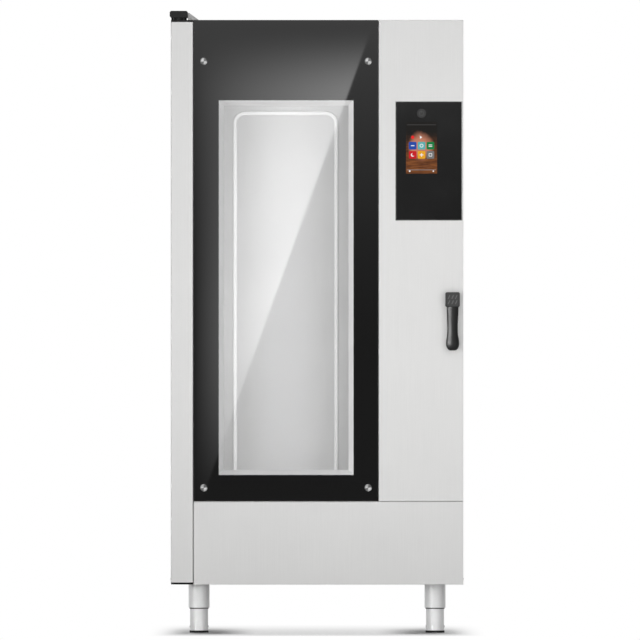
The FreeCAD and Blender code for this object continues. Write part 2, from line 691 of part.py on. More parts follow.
def air_baffle():
    """The folded sheet before the fans, with intake grilles and outlet slots along its edges."""
    ys, zs = baffle_spans()
    pan = block((TRAY_RIGHT, TRAY_RIGHT + BAFFLE_FLANGE), ys, zs)
    inside = block((TRAY_RIGHT + BAFFLE_SHEET, TRAY_RIGHT + BAFFLE_FLANGE), around(ys, -BAFFLE_SHEET),
                   around(zs, -BAFFLE_SHEET))
    pan = pan.cut(inside)
    for z in FAN_ZS:
        pan = pan.cut(grille_slots(z))
    pitch = (zs[1] - zs[0]) / OUTLET_COUNT
    for y in (ys[0] + OUTLET_EDGE, ys[1] - OUTLET_EDGE):
        for i in range(OUTLET_COUNT):
            span = centred(zs[0] + (i + 0.5) * pitch, OUTLET_LENGTH)
            depth = (TRAY_RIGHT, TRAY_RIGHT + BAFFLE_SHEET)
            pan = pan.cut(rounded(depth, centred(y, OUTLET_WIDTH), span, X_AXIS, OUTLET_WIDTH * SLOT_ROUND))
    return pan


def baffle_posts():
    """Round posts that hold the baffle off the right wall."""
    ys, zs = baffle_spans()
    start = TRAY_RIGHT + BAFFLE_SHEET
    rows = [zs[0] + BAFFLE_POST_INSET] + [(a + b) / 2 for a, b in zip(FAN_ZS, FAN_ZS[1:])]
    rows.append(zs[1] - BAFFLE_POST_INSET)
    columns = around(ys, -BAFFLE_POST_INSET)
    length = CAVITY_RIGHT - start
    return [rod((start, y, z), X_AXIS, BAFFLE_POST_RADIUS, length) for y in columns for z in rows]


def rack_rails():
    """Two channels on the cavity floor that guide the rack."""
    rails = []
    zs = (CAVITY_BOTTOM, CAVITY_BOTTOM + RAIL_HEIGHT)
    ys = (INSIDE_FRONT + RAIL_END_GAP, CAVITY_BACK - RAIL_END_GAP)
    for side in (-1, 1):
        xs = centred(TRAY_MIDDLE + side * RAIL_SPREAD / 2, RAIL_WIDTH)
        hollow = block(around(xs, -RAIL_SHEET), ys, (zs[0] + RAIL_SHEET, zs[1]))
        rails.append(block(xs, ys, zs).cut(hollow))
    return rails


def fan_rotor(z):
    """One fan: a bladed wheel, its shaft and the nut that holds it."""
    middle = (FAN_FRONT, FAN_Y, z)
    plate = rod((FAN_BACK - FAN_BLADE_SHEET, FAN_Y, z), X_AXIS, FAN_RADIUS, FAN_BLADE_SHEET)
    rim = ring(middle, X_AXIS, FAN_RADIUS, FAN_RADIUS - FAN_RIM, FAN_BLADE_SHEET)
    hub = rod((FAN_BACK - HUB_LENGTH, FAN_Y, z), X_AXIS, HUB_RADIUS, HUB_LENGTH)
    blade_span = (z + FAN_BLADE_INNER, z + FAN_RADIUS - EASE)
    blade = block((FAN_FRONT, FAN_BACK), centred(FAN_Y, FAN_BLADE_SHEET), blade_span)
    blades = [turned(blade, middle, X_AXIS, i * 360 / FAN_BLADES) for i in range(FAN_BLADES)]
    wheel = fused([plate, rim, hub] + blades)
    wheel = wheel.cut(rod(middle, X_AXIS, SHAFT_RADIUS + FIT, FAN_WIDTH))
    hub_front = FAN_BACK - HUB_LENGTH
    end = MOTOR_FACE + SHAFT_IN_MOTOR
    shaft = rod((hub_front - NUT_LENGTH, FAN_Y, z), X_AXIS, SHAFT_RADIUS, end - hub_front + NUT_LENGTH)
    corners = [(hub_front - NUT_LENGTH, FAN_Y + NUT_RADIUS * math.cos(a), z + NUT_RADIUS * math.sin(a))
               for a in [i * math.pi / 3 for i in range(6)]]
    nut = prism(corners, X_AXIS * NUT_LENGTH)
    nut = nut.cut(rod(corners[0][:1] + (FAN_Y, z), X_AXIS, SHAFT_RADIUS + FIT, NUT_LENGTH))
    return [wheel, shaft, nut]


def fan_motors():
    """Ribbed motors outside the insulation, each with a bore for its fan shaft."""
    motors = []
    for z in FAN_ZS:
        start = (MOTOR_FACE, FAN_Y, z)
        body = rod(start, X_AXIS, MOTOR_RADIUS, MOTOR_LENGTH)
        end = [edge for edge in body.Edges if edge.BoundBox.XMin > MOTOR_FACE + MOTOR_RIB]
        body = body.makeChamfer(MOTOR_RIB, end)
        span = (MOTOR_FACE + MOTOR_RIB, MOTOR_FACE + MOTOR_LENGTH - 2 * MOTOR_RIB)
        rib = block(span, centred(FAN_Y, MOTOR_RIB / 2), (z, z + MOTOR_RADIUS + MOTOR_RIB))
        ribs = [turned(rib, start, X_AXIS, i * 360 / MOTOR_RIBS) for i in range(MOTOR_RIBS)]
        bore = rod(start, X_AXIS, SHAFT_RADIUS + FIT, SHAFT_IN_MOTOR + HOLE_EASE)
        motors.append(fused([body] + ribs).cut(bore))
    return motors


def mount_legs(start, ease):
    """The round legs of the motor mounts, widened by a clearance."""
    places = [(FAN_Y + i * MOUNT_LEG_SPREAD / 2, z + j * MOUNT_LEG_SPREAD / 2)
              for z in FAN_ZS for i in (-1, 1) for j in (-1, 1)]
    return [rod((start, y, z), X_AXIS, MOUNT_LEG_RADIUS + ease, INSULATION) for y, z in places]


def motor_mounts():
    """A plate on four legs for each motor, standing on the cavity wall."""
    legs = mount_legs(WALL_RIGHT, 0)
    mounts = []
    for i, z in enumerate(FAN_ZS):
        plate = block((SLAB_RIGHT, MOTOR_FACE), centred(FAN_Y, MOUNT_SIDE), centred(z, MOUNT_SIDE))
        plate = plate.cut(rod((SLAB_RIGHT, FAN_Y, z), X_AXIS, SHAFT_HOLE_RADIUS, MOUNT_SHEET))
        mounts.append(fused([plate] + legs[4 * i:4 * i + 4]))
    return mounts


def heater_loop(radius, plane, z):
    """One heater tube: a ring about the fan whose two tails bend back through the wall."""
    angle = math.radians(HEATER_GAP_DEGREES)
    hub = Vector(plane, FAN_Y, z)

    def section(place, direction):
        return Part.Face(Part.Wire(Part.makeCircle(HEATER_TUBE_RADIUS, place, direction)))

    pieces = []
    for side in (-1, 1):
        ring_end = hub + Vector(0, math.cos(angle), side * math.sin(angle)) * radius
        along = Vector(0, -math.sin(angle), side * math.cos(angle))
        centre = ring_end + X_AXIS * HEATER_BEND
        tail = centre - along * HEATER_BEND
        pieces.append(section(tail, X_AXIS).revolve(centre, along.cross(X_AXIS), 90))
        pieces.append(rod(tail, X_AXIS, HEATER_TUBE_RADIUS, SLAB_RIGHT + HEATER_TAIL - tail.x))
    pieces.append(section(ring_end, along).revolve(hub, X_AXIS, 360 - 2 * HEATER_GAP_DEGREES))
    return fused(pieces)


def heating_elements():
    """Two heater loops around each fan and the flange they share."""
    pieces = []
    places = heater_leg_places()
    ys = [y for y, z in places]
    zs = [z for y, z in places]
    for z in FAN_ZS:
        for radius, plane in zip(HEATER_RADII, HEATER_PLANES):
            pieces.append(heater_loop(radius, FAN_FRONT + plane, z))
        xs = (CAVITY_RIGHT - HEATER_FLANGE_SHEET, CAVITY_RIGHT)
        span_y = around((FAN_Y + min(ys), FAN_Y + max(ys)), HEATER_FLANGE_MARGIN)
        span_z = around((z + min(zs), z + max(zs)), HEATER_FLANGE_MARGIN)
        flange = rounded(xs, span_y, span_z, X_AXIS, HEATER_FLANGE_MARGIN / 2)
        ways = [(xs[0], FAN_Y + leg_y, z + leg_z) for leg_y, leg_z in places]
        ways = [rod(way, X_AXIS, HEATER_TUBE_RADIUS + FIT, HEATER_FLANGE_SHEET) for way in ways]
        pieces.append(flange.cut(ways))
    return pieces


def lamp_housings():
    """Two lamp cups let into the left insulation."""
    start = CAVITY_LEFT - CAVITY_WALL - INSULATION
    length = INSULATION + CAVITY_WALL
    cups = []
    for z in LAMP_ZS:
        cup = rod((start, LAMP_Y, z), X_AXIS, LAMP_RADIUS, length)
        cups.append(cup.cut(rod((start + SHEET, LAMP_Y, z), X_AXIS, LAMP_RADIUS - SHEET, length)))
    return cups


def lamp_lenses():
    """Round glass lenses over the lamp cups, with eased rims."""
    lenses = []
    for z in LAMP_ZS:
        lens = rod((CAVITY_LEFT, LAMP_Y, z), X_AXIS, LAMP_RADIUS + LENS_LAP, LENS_THICKNESS)
        rim = [edge for edge in lens.Edges if edge.BoundBox.XMin > CAVITY_LEFT + EASE]
        lenses.append(lens.makeFillet(LENS_THICKNESS / 2, rim))
    return lenses


def stub_collar(x, z, radius):
    """The collar that seats a pipe stub on the outside of the back panel."""
    return rod((x, CABINET_BACK, z), Y_AXIS, radius + STUB_COLLAR_LAP, STUB_COLLAR)


def exhaust_pipe():
    """The vent from the cavity's back wall to the stub behind the oven."""
    start = (TRAY_MIDDLE, WALL_BACK, EXHAUST_Z)
    length = CABINET_BACK + STUB_REACH - WALL_BACK
    collar = stub_collar(TRAY_MIDDLE, EXHAUST_Z, EXHAUST_RADIUS)
    bore = rod(start, Y_AXIS, EXHAUST_RADIUS - EXHAUST_WALL, length)
    return fused([rod(start, Y_AXIS, EXHAUST_RADIUS, length), collar]).cut(bore)


def drain_pipe():
    """The drain elbow from the cavity floor to the stub behind the oven, and its strainer."""
    floor = CAVITY_BOTTOM - CAVITY_WALL
    corner = (TRAY_MIDDLE, FAN_Y, DRAIN_Z)
    length = CABINET_BACK + STUB_REACH - FAN_Y

    def elbow(radius):
        return fused([rod(corner, Z_AXIS, radius, floor - DRAIN_Z), rod(corner, Y_AXIS, radius, length),
                      Part.makeSphere(radius, Vector(*corner))])

    outside = fused([elbow(DRAIN_RADIUS), stub_collar(TRAY_MIDDLE, DRAIN_Z, DRAIN_RADIUS)])
    pipe = outside.cut(elbow(DRAIN_RADIUS - DRAIN_WALL))
    start = (TRAY_MIDDLE, FAN_Y, CAVITY_BOTTOM)
    strainer = rod(start, Z_AXIS, STRAINER_RADIUS, STRAINER_HEIGHT)
    strainer = strainer.makeFillet(STRAINER_HEIGHT / 2, [strainer.Edges[0]])
    slot_end = TRAY_MIDDLE + STRAINER_RADIUS - STRAINER_RIM
    slot = rounded((slot_end - STRAINER_SLOT_LENGTH, slot_end), centred(FAN_Y, STRAINER_SLOT),
                   (CAVITY_BOTTOM, CAVITY_BOTTOM + STRAINER_HEIGHT), Z_AXIS, STRAINER_SLOT * SLOT_ROUND)
    ways = [turned(slot, start, Z_AXIS, i * 360 / STRAINER_SLOTS) for i in range(STRAINER_SLOTS)]
    return [pipe, strainer.cut(ways)]


def water_line():
    """The inlet valve at the back and the pipe that feeds a jet behind each fan."""
    back = INSIDE_BACK
    valve = rounded(centred(SERVICE_X, VALVE_SIDE), (back - VALVE_SIDE, back),
                    centred(WATER_HEIGHT, VALVE_SIDE), Y_AXIS, VALVE_ROUND)
    stub = rod((SERVICE_X, back, WATER_HEIGHT), Y_AXIS, INLET_RADIUS, SHEET + INLET_REACH)
    collar = stub_collar(SERVICE_X, WATER_HEIGHT, INLET_RADIUS)
    run = rod((SERVICE_X, WATER_Y, WATER_HEIGHT), Y_AXIS, WATER_PIPE_RADIUS, back - VALVE_SIDE - WATER_Y)
    riser = rod((SERVICE_X, WATER_Y, WATER_HEIGHT), Z_AXIS, WATER_PIPE_RADIUS, FAN_ZS[-1] - WATER_HEIGHT)
    start = FAN_BACK + WATER_END_GAP
    jets = [rod((start, WATER_Y, z), X_AXIS, WATER_BRANCH_RADIUS, SERVICE_X - start) for z in FAN_ZS]
    bend_zs = (WATER_HEIGHT, FAN_ZS[-1])
    bends = [Part.makeSphere(WATER_PIPE_RADIUS, Vector(SERVICE_X, WATER_Y, z)) for z in bend_zs]
    return fused([valve, stub, collar, run, riser] + jets + bends)


def cable_gland():
    """The gland in the back panel where the supply lead enters."""
    profile = [(GLAND_NECK, 0), (GLAND_NECK, SHEET), (GLAND_RADIUS, SHEET), (GLAND_RADIUS, GLAND_REACH / 2),
               (GLAND_TIP, GLAND_REACH), (GLAND_BORE, GLAND_REACH), (GLAND_BORE, -GLAND_NUT),
               (GLAND_RADIUS, -GLAND_NUT), (GLAND_RADIUS, 0)]
    corners = [Vector(SERVICE_X + r, INSIDE_BACK + y, GLAND_HEIGHT) for r, y in profile]
    face = Part.Face(Part.makePolygon(corners + corners[:1]))
    return face.revolve(Vector(SERVICE_X, INSIDE_BACK, GLAND_HEIGHT), Y_AXIS, 360)


def electrical_tray():
    """A folded plate on the base frame with the contactors and the terminal blocks."""
    face = SLAB_RIGHT + TRAY_FOOT
    ys = (WATER_Y - TRAY_GAP - TRAY_LENGTH, WATER_Y - TRAY_GAP)
    plate = block((face - SHEET, face), ys, (BASE_TOP, BASE_TOP + TRAY_HEIGHT))
    foot = block((face - SHEET, face + TRAY_FOOT), ys, (BASE_TOP, BASE_TOP + SHEET))
    pieces = [fused([plate, foot])]
    pitch = TRAY_LENGTH / CONTACTOR_COUNT
    zs = (BASE_TOP + TRAY_HEIGHT - CONTACTOR_HEIGHT, BASE_TOP + TRAY_HEIGHT)
    for i in range(CONTACTOR_COUNT):
        span = centred(ys[0] + pitch * (i + 0.5), CONTACTOR_WIDTH)
        body = block((face, face + CONTACTOR_DEPTH - CONTACTOR_STEP), span, zs)
        nose = block((face, face + CONTACTOR_DEPTH), span, around(zs, -CONTACTOR_STEP))
        pieces.append(fused([body, nose]))
    low = BASE_TOP + SHEET + TERMINAL_RISE
    for i in range(TERMINAL_COUNT):
        span = (ys[0] + TERMINAL_WIDTH * i, ys[0] + TERMINAL_WIDTH * (i + 1) - EASE)
        clip = block((face, face + TERMINAL_DEPTH), span, (low, low + TERMINAL_HEIGHT))
        entry = block((face + TERMINAL_DEPTH - TERMINAL_ENTRY, face + TERMINAL_DEPTH),
                      around(span, -TERMINAL_WALL), (low, low + TERMINAL_ENTRY))
        pieces.append(clip.cut(entry))
    return pieces


def foot_places():
    """The X and Y of each foot by its corner, the back pair set a little wider."""
    places = {}
    for end, xs, y in zip(("front", "back"), (FRONT_FOOT_XS, BACK_FOOT_XS), FOOT_YS):
        for side, x in zip(("left", "right"), xs):
            places[end + "_" + side] = (x, y)
    return places


def foot_sleeves():
    """Four sleeves under the cabinet, each with the rod that its leg is screwed on."""
    sleeves = []
    low = BOTTOM - SLEEVE_LENGTH
    for x, y in foot_places().values():
        tube = rod((x, y, low), Z_AXIS, SLEEVE_RADIUS, SLEEVE_LENGTH)
        rim = [edge for edge in tube.Edges if edge.BoundBox.ZMax < low + EASE]
        tube = tube.makeFillet(SLEEVE_WALL / 2, rim)
        hollow = rod((x, y, low), Z_AXIS, SLEEVE_RADIUS - SLEEVE_WALL, SLEEVE_LENGTH - SLEEVE_HEAD)
        tip = (x, y, BOTTOM - SLEEVE_HEAD - FOOT_ROD_LENGTH)
        screw = rod(tip, Z_AXIS, FOOT_ROD_RADIUS, FOOT_ROD_LENGTH)
        sleeves.append(fused([tube.cut(hollow), screw]))
    return sleeves


def foot_leg(x, y):
    """One adjustable leg, running in its sleeve, and the pad under it."""
    head = BOTTOM - SLEEVE_HEAD - EASE
    leg = rod((x, y, PAD_HEIGHT), Z_AXIS, FOOT_LEG_RADIUS, head - PAD_HEIGHT)
    collar = rod((x, y, head - FOOT_COLLAR), Z_AXIS, SLEEVE_RADIUS - SLEEVE_WALL - EASE, FOOT_COLLAR)
    bore_depth = FOOT_ROD_LENGTH + HOLE_EASE
    bore = rod((x, y, head - bore_depth), Z_AXIS, FOOT_ROD_RADIUS + EASE, bore_depth)
    pad = rod((x, y, 0), Z_AXIS, PAD_RADIUS, PAD_HEIGHT)
    rim = [edge for edge in pad.Edges if edge.BoundBox.ZMin > EASE]
    return [fused([leg, collar]).cut(bore), pad.makeFillet(PAD_ROUND, rim)]


def hinge_bracket(plate_low, flange):
    """A fixed angle bracket: a plate that holds the hinge pin and a flange on the front frame."""
    zs = (plate_low, plate_low + HINGE_PLATE)
    plate = block((LEFT, COLUMN_RIGHT), (HINGE_Y - HINGE_INSET, CABINET_FRONT), zs)
    corners = [edge for edge in straight_edges(plate, Z_AXIS) if edge.BoundBox.YMax < HINGE_Y]
    plate = plate.makeFillet(HINGE_INSET - EASE, corners)
    upright = block((LEFT, COLUMN_RIGHT), (CABINET_FRONT - HINGE_PLATE, CABINET_FRONT), flange)
    hole = rod((HINGE_X, HINGE_Y, plate_low), Z_AXIS, PIN_RADIUS + FIT, HINGE_PLATE)
    return fused([plate, upright]).cut(hole)


def hinge_top_bracket():
    """The bracket over the column."""
    low = TOP - HINGE_PLATE
    return hinge_bracket(low, (low - HINGE_FLANGE, TOP - SHEET))


def hinge_bottom_bracket():
    """The bracket under the column, which carries the door."""
    return hinge_bracket(BOTTOM, (BOTTOM + SHEET, BOTTOM + HINGE_PLATE + HINGE_FLANGE))


def hinge_block():
    """The block on top that steadies the upper pin, seated on the cabinet roof."""
    xs = centred(HINGE_X, 2 * BLOCK_HALF_WIDTH)
    low = TOP + BLOCK_RISE
    body = block(xs, (HINGE_Y - HINGE_INSET, CABINET_FRONT + BLOCK_SEAT), (low, low + BLOCK_HEIGHT))
    long_edges = straight_edges(body, Y_AXIS)
    sharp = [edge for edge in long_edges if edge.BoundBox.XMin > HINGE_X and edge.BoundBox.ZMax < low + EASE]
    body = body.makeChamfer(BLOCK_CHAMFER, [edge for edge in long_edges if edge not in sharp])
    seat_ys = (CABINET_FRONT + TIE_SETBACK, CABINET_FRONT + BLOCK_SEAT)
    seat = block(around(xs, -BLOCK_CHAMFER), seat_ys, (TOP, low))
    collar = rod((HINGE_X, HINGE_Y, TOP), Z_AXIS, COLLAR_RADIUS, BLOCK_RISE)
    socket = rod((HINGE_X, HINGE_Y, TOP), Z_AXIS, PIN_RADIUS + FIT, BLOCK_RISE + BLOCK_SOCKET)
    return fused([body, seat, collar]).cut(socket)


def hinge_tie():
    """The sloped steel gusset that ties the hinge block to the roof."""
    start = HINGE_X + BLOCK_HALF_WIDTH
    front = CABINET_FRONT + TIE_SETBACK
    high = TOP + BLOCK_RISE + BLOCK_HEIGHT - BLOCK_CHAMFER
    end = start + TIE_LENGTH
    low = TOP + TIE_SHEET
    web = prism([(start, front, TOP), (end, front, TOP), (end, front, low), (start + TIE_SHEET, front, high),
                 (start, front, high)], Y_AXIS * TIE_SHEET)
    foot = block((start, end), (front, CABINET_FRONT + BLOCK_SEAT), (TOP, low))
    return fused([web, foot])


def hinge_pins():
    """The fixed pins at the top and bottom of the column."""
    low = COLUMN_TOP - PIN_REACH
    top = rod((HINGE_X, HINGE_Y, low), Z_AXIS, PIN_RADIUS, TOP + BLOCK_RISE + BLOCK_SOCKET - EASE - low)
    bottom = rod((HINGE_X, HINGE_Y, BOTTOM), Z_AXIS, PIN_RADIUS, COLUMN_BOTTOM + PIN_REACH - BOTTOM)
    return [top, bottom]


def column_profile(inset, zs):
    """The column's section, shrunk by an inset, as a bar between two heights."""
    shape = block(around((LEFT, COLUMN_RIGHT), -inset), around((DOOR_FRONT, DOOR_BACK), -inset), zs)

    def corners(swinging):
        edges = straight_edges(shape, Z_AXIS)
        return [edge for edge in edges
                if (edge.BoundBox.XMax < HINGE_X and edge.BoundBox.YMin > HINGE_Y) == swinging]

    shape = shape.makeFillet(max(COLUMN_EDGE - inset, EASE), corners(False))
    return shape.makeFillet(COLUMN_BACK_RADIUS - inset, corners(True))


def hinge_column():
    """The hollow stile that turns with the door."""
    zs = (COLUMN_BOTTOM, COLUMN_TOP)
    return column_profile(0, zs).cut(column_profile(COLUMN_WALL, zs))


def column_plugs():
    """Plugs in both ends of the column, bored to run on the hinge pins."""
    plugs = []
    for low in (COLUMN_BOTTOM, COLUMN_TOP - PLUG_LENGTH):
        plug = column_profile(COLUMN_WALL + FIT, (low, low + PLUG_LENGTH))
        plugs.append(plug.cut(rod((HINGE_X, HINGE_Y, low), Z_AXIS, PIN_RADIUS + FIT, PLUG_LENGTH)))
    return plugs


def frame_bars():
    """The X and Z spans of the channels that make the door frame."""
    low = BOTTOM + FRAME_EDGE
    high = TOP - FRAME_EDGE
    right = RIGHT - FRAME_EDGE
    full = (LEAF_LEFT, right)
    stiles = [(LEAF_LEFT, LEFT_STILE_RIGHT), (INNER_STILE_LEFT, INNER_STILE_RIGHT), (RIGHT_STILE_LEFT, right)]
    rails = [(low, BOTTOM_RAIL_TOP), (SILL_BOTTOM, SILL_TOP), (TOP_RAIL_BOTTOM, high)]
    bars = [(xs, (low, high)) for xs in stiles] + [(full, zs) for zs in rails]
    bars.append(((LEAF_LEFT, INNER_STILE_RIGHT), (HEAD_RAIL_BOTTOM, HEAD_RAIL_TOP)))
    return bars


def spindle_hole(start, length):
    """A cutter for the handle spindle along Y."""
    return rod((HANDLE_X, start, HANDLE_Z), Y_AXIS, SPINDLE_RADIUS + HOLE_EASE, length)


def door_frame():
    """The ladder of folded channels inside the door, open to the back."""
    outer = fused(block(xs, (FRAME_FRONT, FRAME_BACK), zs) for xs, zs in frame_bars())
    hollow = (FRAME_FRONT + FRAME_WALL, FRAME_BACK)
    inner = fused(block(around(xs, -FRAME_WALL), hollow, around(zs, -FRAME_WALL)) for xs, zs in frame_bars())
    holes = [rod((x, FRAME_FRONT, z), Y_AXIS, BOLT_RADIUS + FIT, FRAME_WALL) for x, z in bolt_places()]
    return outer.cut([inner, spindle_hole(FRAME_FRONT, FRAME_WALL)] + holes)


def door_inner_skin():
    """The sheet on the cavity side of the door, open at the window."""
    sheet = block((LEAF_LEFT, RIGHT), (FRAME_BACK, DOOR_BACK), (BOTTOM, TOP))
    gap = SKIN_LAP - REVEAL_STRIP
    window = block(around(WINDOW_X, gap), (FRAME_BACK, DOOR_BACK), around(WINDOW_Z, gap))
    return sheet.cut([window, spindle_hole(FRAME_BACK, SKIN)])


def door_top_cover():
    """The folded strip that closes the door top behind the glass."""
    front = BORDER_BACK + EASE
    lid = block((LEAF_LEFT, GLASS_RIGHT), (front, FRAME_BACK), (TOP - SHEET, TOP))
    lip = block((LEAF_LEFT, GLASS_RIGHT), (front, front + SHEET), (TOP - FRAME_SETBACK, TOP))
    return fused([lid, lip])


def door_insulation():
    """Slabs of mineral wool below and above the window and behind the controls."""
    ys = (FRAME_FRONT, FRAME_BACK)
    thin = (FRAME_BACK - RIGHT_SLAB, FRAME_BACK)
    window_xs = (LEFT_STILE_RIGHT, INNER_STILE_LEFT)
    panel_xs = (INNER_STILE_RIGHT, RIGHT_STILE_LEFT)
    low_zs = (BOTTOM_RAIL_TOP, SILL_BOTTOM)
    return [block(window_xs, ys, low_zs), block(panel_xs, ys, low_zs),
            block(window_xs, ys, (HEAD_RAIL_TOP, TOP_RAIL_BOTTOM)),
            block(panel_xs, thin, (SILL_TOP, TOP_RAIL_BOTTOM))]


def bolt_places():
    """The X and Z of the four bolts that hold the front glass."""
    return [(x, z) for x in (LEAF_LEFT + BOLT_SIDE_INSET, GLASS_RIGHT - BOLT_SIDE_INSET)
            for z in (GLASS_BOTTOM + BOLT_BOTTOM_INSET, TOP - BOLT_TOP_INSET)]


def glass_sheet(ys, hole_radius):
    """A sheet of the front glass's outline with the bolt holes."""
    sheet = block((LEAF_LEFT, GLASS_RIGHT), ys, (GLASS_BOTTOM, TOP))
    return sheet.cut([rod((x, ys[0], z), Y_AXIS, hole_radius, ys[1] - ys[0]) for x, z in bolt_places()])


def outer_glass():
    """The front glass with polished edges."""
    glass = glass_sheet((DOOR_FRONT, GLASS_BACK), BOLT_RADIUS + EASE)
    rim = [edge for edge in straight_edges(glass, X_AXIS) + straight_edges(glass, Z_AXIS)
           if edge.BoundBox.YMax < DOOR_FRONT + EASE]
    return glass.makeChamfer(GLASS_THICKNESS / 6, rim)


def glass_border():
    """The black border on the back of the front glass, open at the window."""
    ys = (GLASS_BACK, BORDER_BACK)
    return glass_sheet(ys, BOLT_RADIUS + EASE).cut(block(WINDOW_X, ys, WINDOW_Z))


def glass_bolts():
    """Four polished bolts with dished heads, each with the spacer behind the glass."""
    pieces = []
    tail = -FRAME_SETBACK - BOLT_REACH
    for x, z in bolt_places():
        profile = [(0, BOLT_HEAD_HEIGHT - BOLT_DISH), (BOLT_HEAD_RADIUS - BOLT_RIM, BOLT_HEAD_HEIGHT),
                   (BOLT_HEAD_RADIUS, BOLT_HEAD_HEIGHT - BOLT_RIM), (BOLT_HEAD_RADIUS, 0),
                   (BOLT_RADIUS, 0), (BOLT_RADIUS, tail), (0, tail)]
        corners = [Vector(x + radius, DOOR_FRONT - height, z) for radius, height in profile]
        face = Part.Face(Part.makePolygon(corners + corners[:1]))
        pieces.append(face.revolve(Vector(x, DOOR_FRONT, z), Y_AXIS, 360))
        start = (x, BORDER_BACK, z)
        pieces.append(ring(start, Y_AXIS, SPACER_RADIUS, BOLT_RADIUS + FIT, FRAME_FRONT - BORDER_BACK))
    return pieces


def window_tunnel(margin, front, back):
    """The tapered window opening, widened by a margin, between two depths."""
    def frame_wire(y, inset):
        xs = around(WINDOW_X, margin - inset)
        zs = around(WINDOW_Z, margin - inset)
        ring_order = ((0, 0), (1, 0), (1, 1), (0, 1), (0, 0))
        return Part.makePolygon([Vector(xs[i], y, zs[j]) for i, j in ring_order])
    return Part.makeLoft([frame_wire(front, 0), frame_wire(back, REVEAL_STRIP)], True, True)


def window_reveal():
    """The light tapered tunnel between the panes, with a flange on the door frame."""
    front = FRAME_FRONT - REVEAL_SHEET
    back = PANE_FRONT
    walls = window_tunnel(REVEAL_SHEET, front, back)
    flange = block(around(WINDOW_X, REVEAL_FLANGE + FRAME_RAIL / 4), (front, FRAME_FRONT),
                   around(WINDOW_Z, REVEAL_FLANGE + FRAME_RAIL / 4))
    return fused([walls, flange]).cut(window_tunnel(0, front, back))


def pane_spans(lap):
    """The X and Z spans of the inner opening, widened by a lap."""
    return around(WINDOW_X, lap - REVEAL_STRIP), around(WINDOW_Z, lap - REVEAL_STRIP)


def inner_glass():
    """The inner pane behind the reveal."""
    xs, zs = pane_spans(PANE_LAP)
    return block(xs, (PANE_FRONT, PANE_BACK), zs)


def inner_glass_seal():
    """The soft frame between the inner pane and the skin."""
    outer_xs, outer_zs = pane_spans(SKIN_LAP + SEAL_WIDTH)
    inner_xs, inner_zs = pane_spans(SKIN_LAP)
    ys = (PANE_BACK, FRAME_BACK)
    return block(outer_xs, ys, outer_zs).cut(block(inner_xs, ys, inner_zs))


def folded_panel(xs, zs):
    """A front sheet with short flanges all round that seat on the door frame."""
    pan = block(xs, (DOOR_FRONT, FRAME_FRONT), zs)
    pan = pan.makeFillet(CLADDING_EDGE, front_edges(pan, DOOR_FRONT))
    hollow = block(around(xs, -SHEET), (DOOR_FRONT + SHEET, FRAME_FRONT), around(zs, -SHEET))
    return pan.cut(hollow)


def right_panel():
    """The cladding right of the glass, wrapped round the door edge, with the control cut-out."""
    zs = (GLASS_BOTTOM, TOP)
    depth = (FRAME_FRONT - SHEET, FRAME_BACK)
    edge = block((RIGHT - SHEET, RIGHT), depth, zs)
    cap = block((PANEL_LEFT, RIGHT), depth, (TOP - SHEET, TOP))
    panel = fused([folded_panel((PANEL_LEFT, RIGHT), zs), edge, cap])
    sheet = (DOOR_FRONT, DOOR_FRONT + SHEET)
    opening = block(around(CONTROL_X, BEZEL_WIDTH), sheet, around(CONTROL_Z, BEZEL_WIDTH))
    return panel.cut([opening, spindle_hole(DOOR_FRONT, SHEET)])


def lower_panel():
    """The cladding under the glass, wrapped round the bottom and the door edge."""
    zs = (BOTTOM, LOWER_PANEL_TOP)
    depth = (FRAME_FRONT - SHEET, FRAME_BACK)
    edge = block((RIGHT - SHEET, RIGHT), depth, zs)
    cap = block((LEAF_LEFT, RIGHT), depth, (BOTTOM, BOTTOM + SHEET))
    return fused([folded_panel((LEAF_LEFT, RIGHT), zs), edge, cap])


def control_bezel():
    """The thin bright frame that carries the control glass."""
    ys = (DOOR_FRONT - BEZEL_PROUD, CONTROL_BACK + BEZEL_LIP)
    hoop = block(around(CONTROL_X, BEZEL_WIDTH - FIT), ys, around(CONTROL_Z, BEZEL_WIDTH - FIT))
    hoop = hoop.makeChamfer(BEZEL_PROUD / 2, front_edges(hoop, ys[0]))
    seat = block(around(CONTROL_X, FIT), (ys[0], CONTROL_BACK), around(CONTROL_Z, FIT))
    way = block(around(CONTROL_X, -BEZEL_LIP), ys, around(CONTROL_Z, -BEZEL_LIP))
    return hoop.cut([seat, way])


def control_glass():
    """The black control glass with the screen window and the button hole."""
    glass = block(CONTROL_X, (DOOR_FRONT, CONTROL_BACK), CONTROL_Z)
    window = block(around(SCREEN_X, EASE), (DOOR_FRONT, CONTROL_BACK), around(SCREEN_Z, EASE))
    hole = rod((BUTTON_X, DOOR_FRONT, BUTTON_Z), Y_AXIS, BUTTON_RADIUS + EASE, CONTROL_GLASS)
    return glass.cut([window, hole])


def display_module():
    """The screen, standing in its window, and its carrier behind the glass."""
    face = block(SCREEN_X, (DOOR_FRONT + SCREEN_RECESS, CONTROL_BACK), SCREEN_Z)
    carrier = block(around(SCREEN_X, SCREEN_BACK_LAP), (CONTROL_BACK, CONTROL_BACK + SCREEN_BODY),
                    around(SCREEN_Z, SCREEN_BACK_LAP))
    return fused([face, carrier])


def control_housing():
    """The tray behind the control glass."""
    tray = block(HOUSING_X, (CONTROL_BACK, HOUSING_BACK), HOUSING_Z)
    hollow = block(around(HOUSING_X, -HOUSING_WALL), (CONTROL_BACK, HOUSING_BACK - HOUSING_WALL),
                   around(HOUSING_Z, -HOUSING_WALL))
    return tray.cut(hollow)


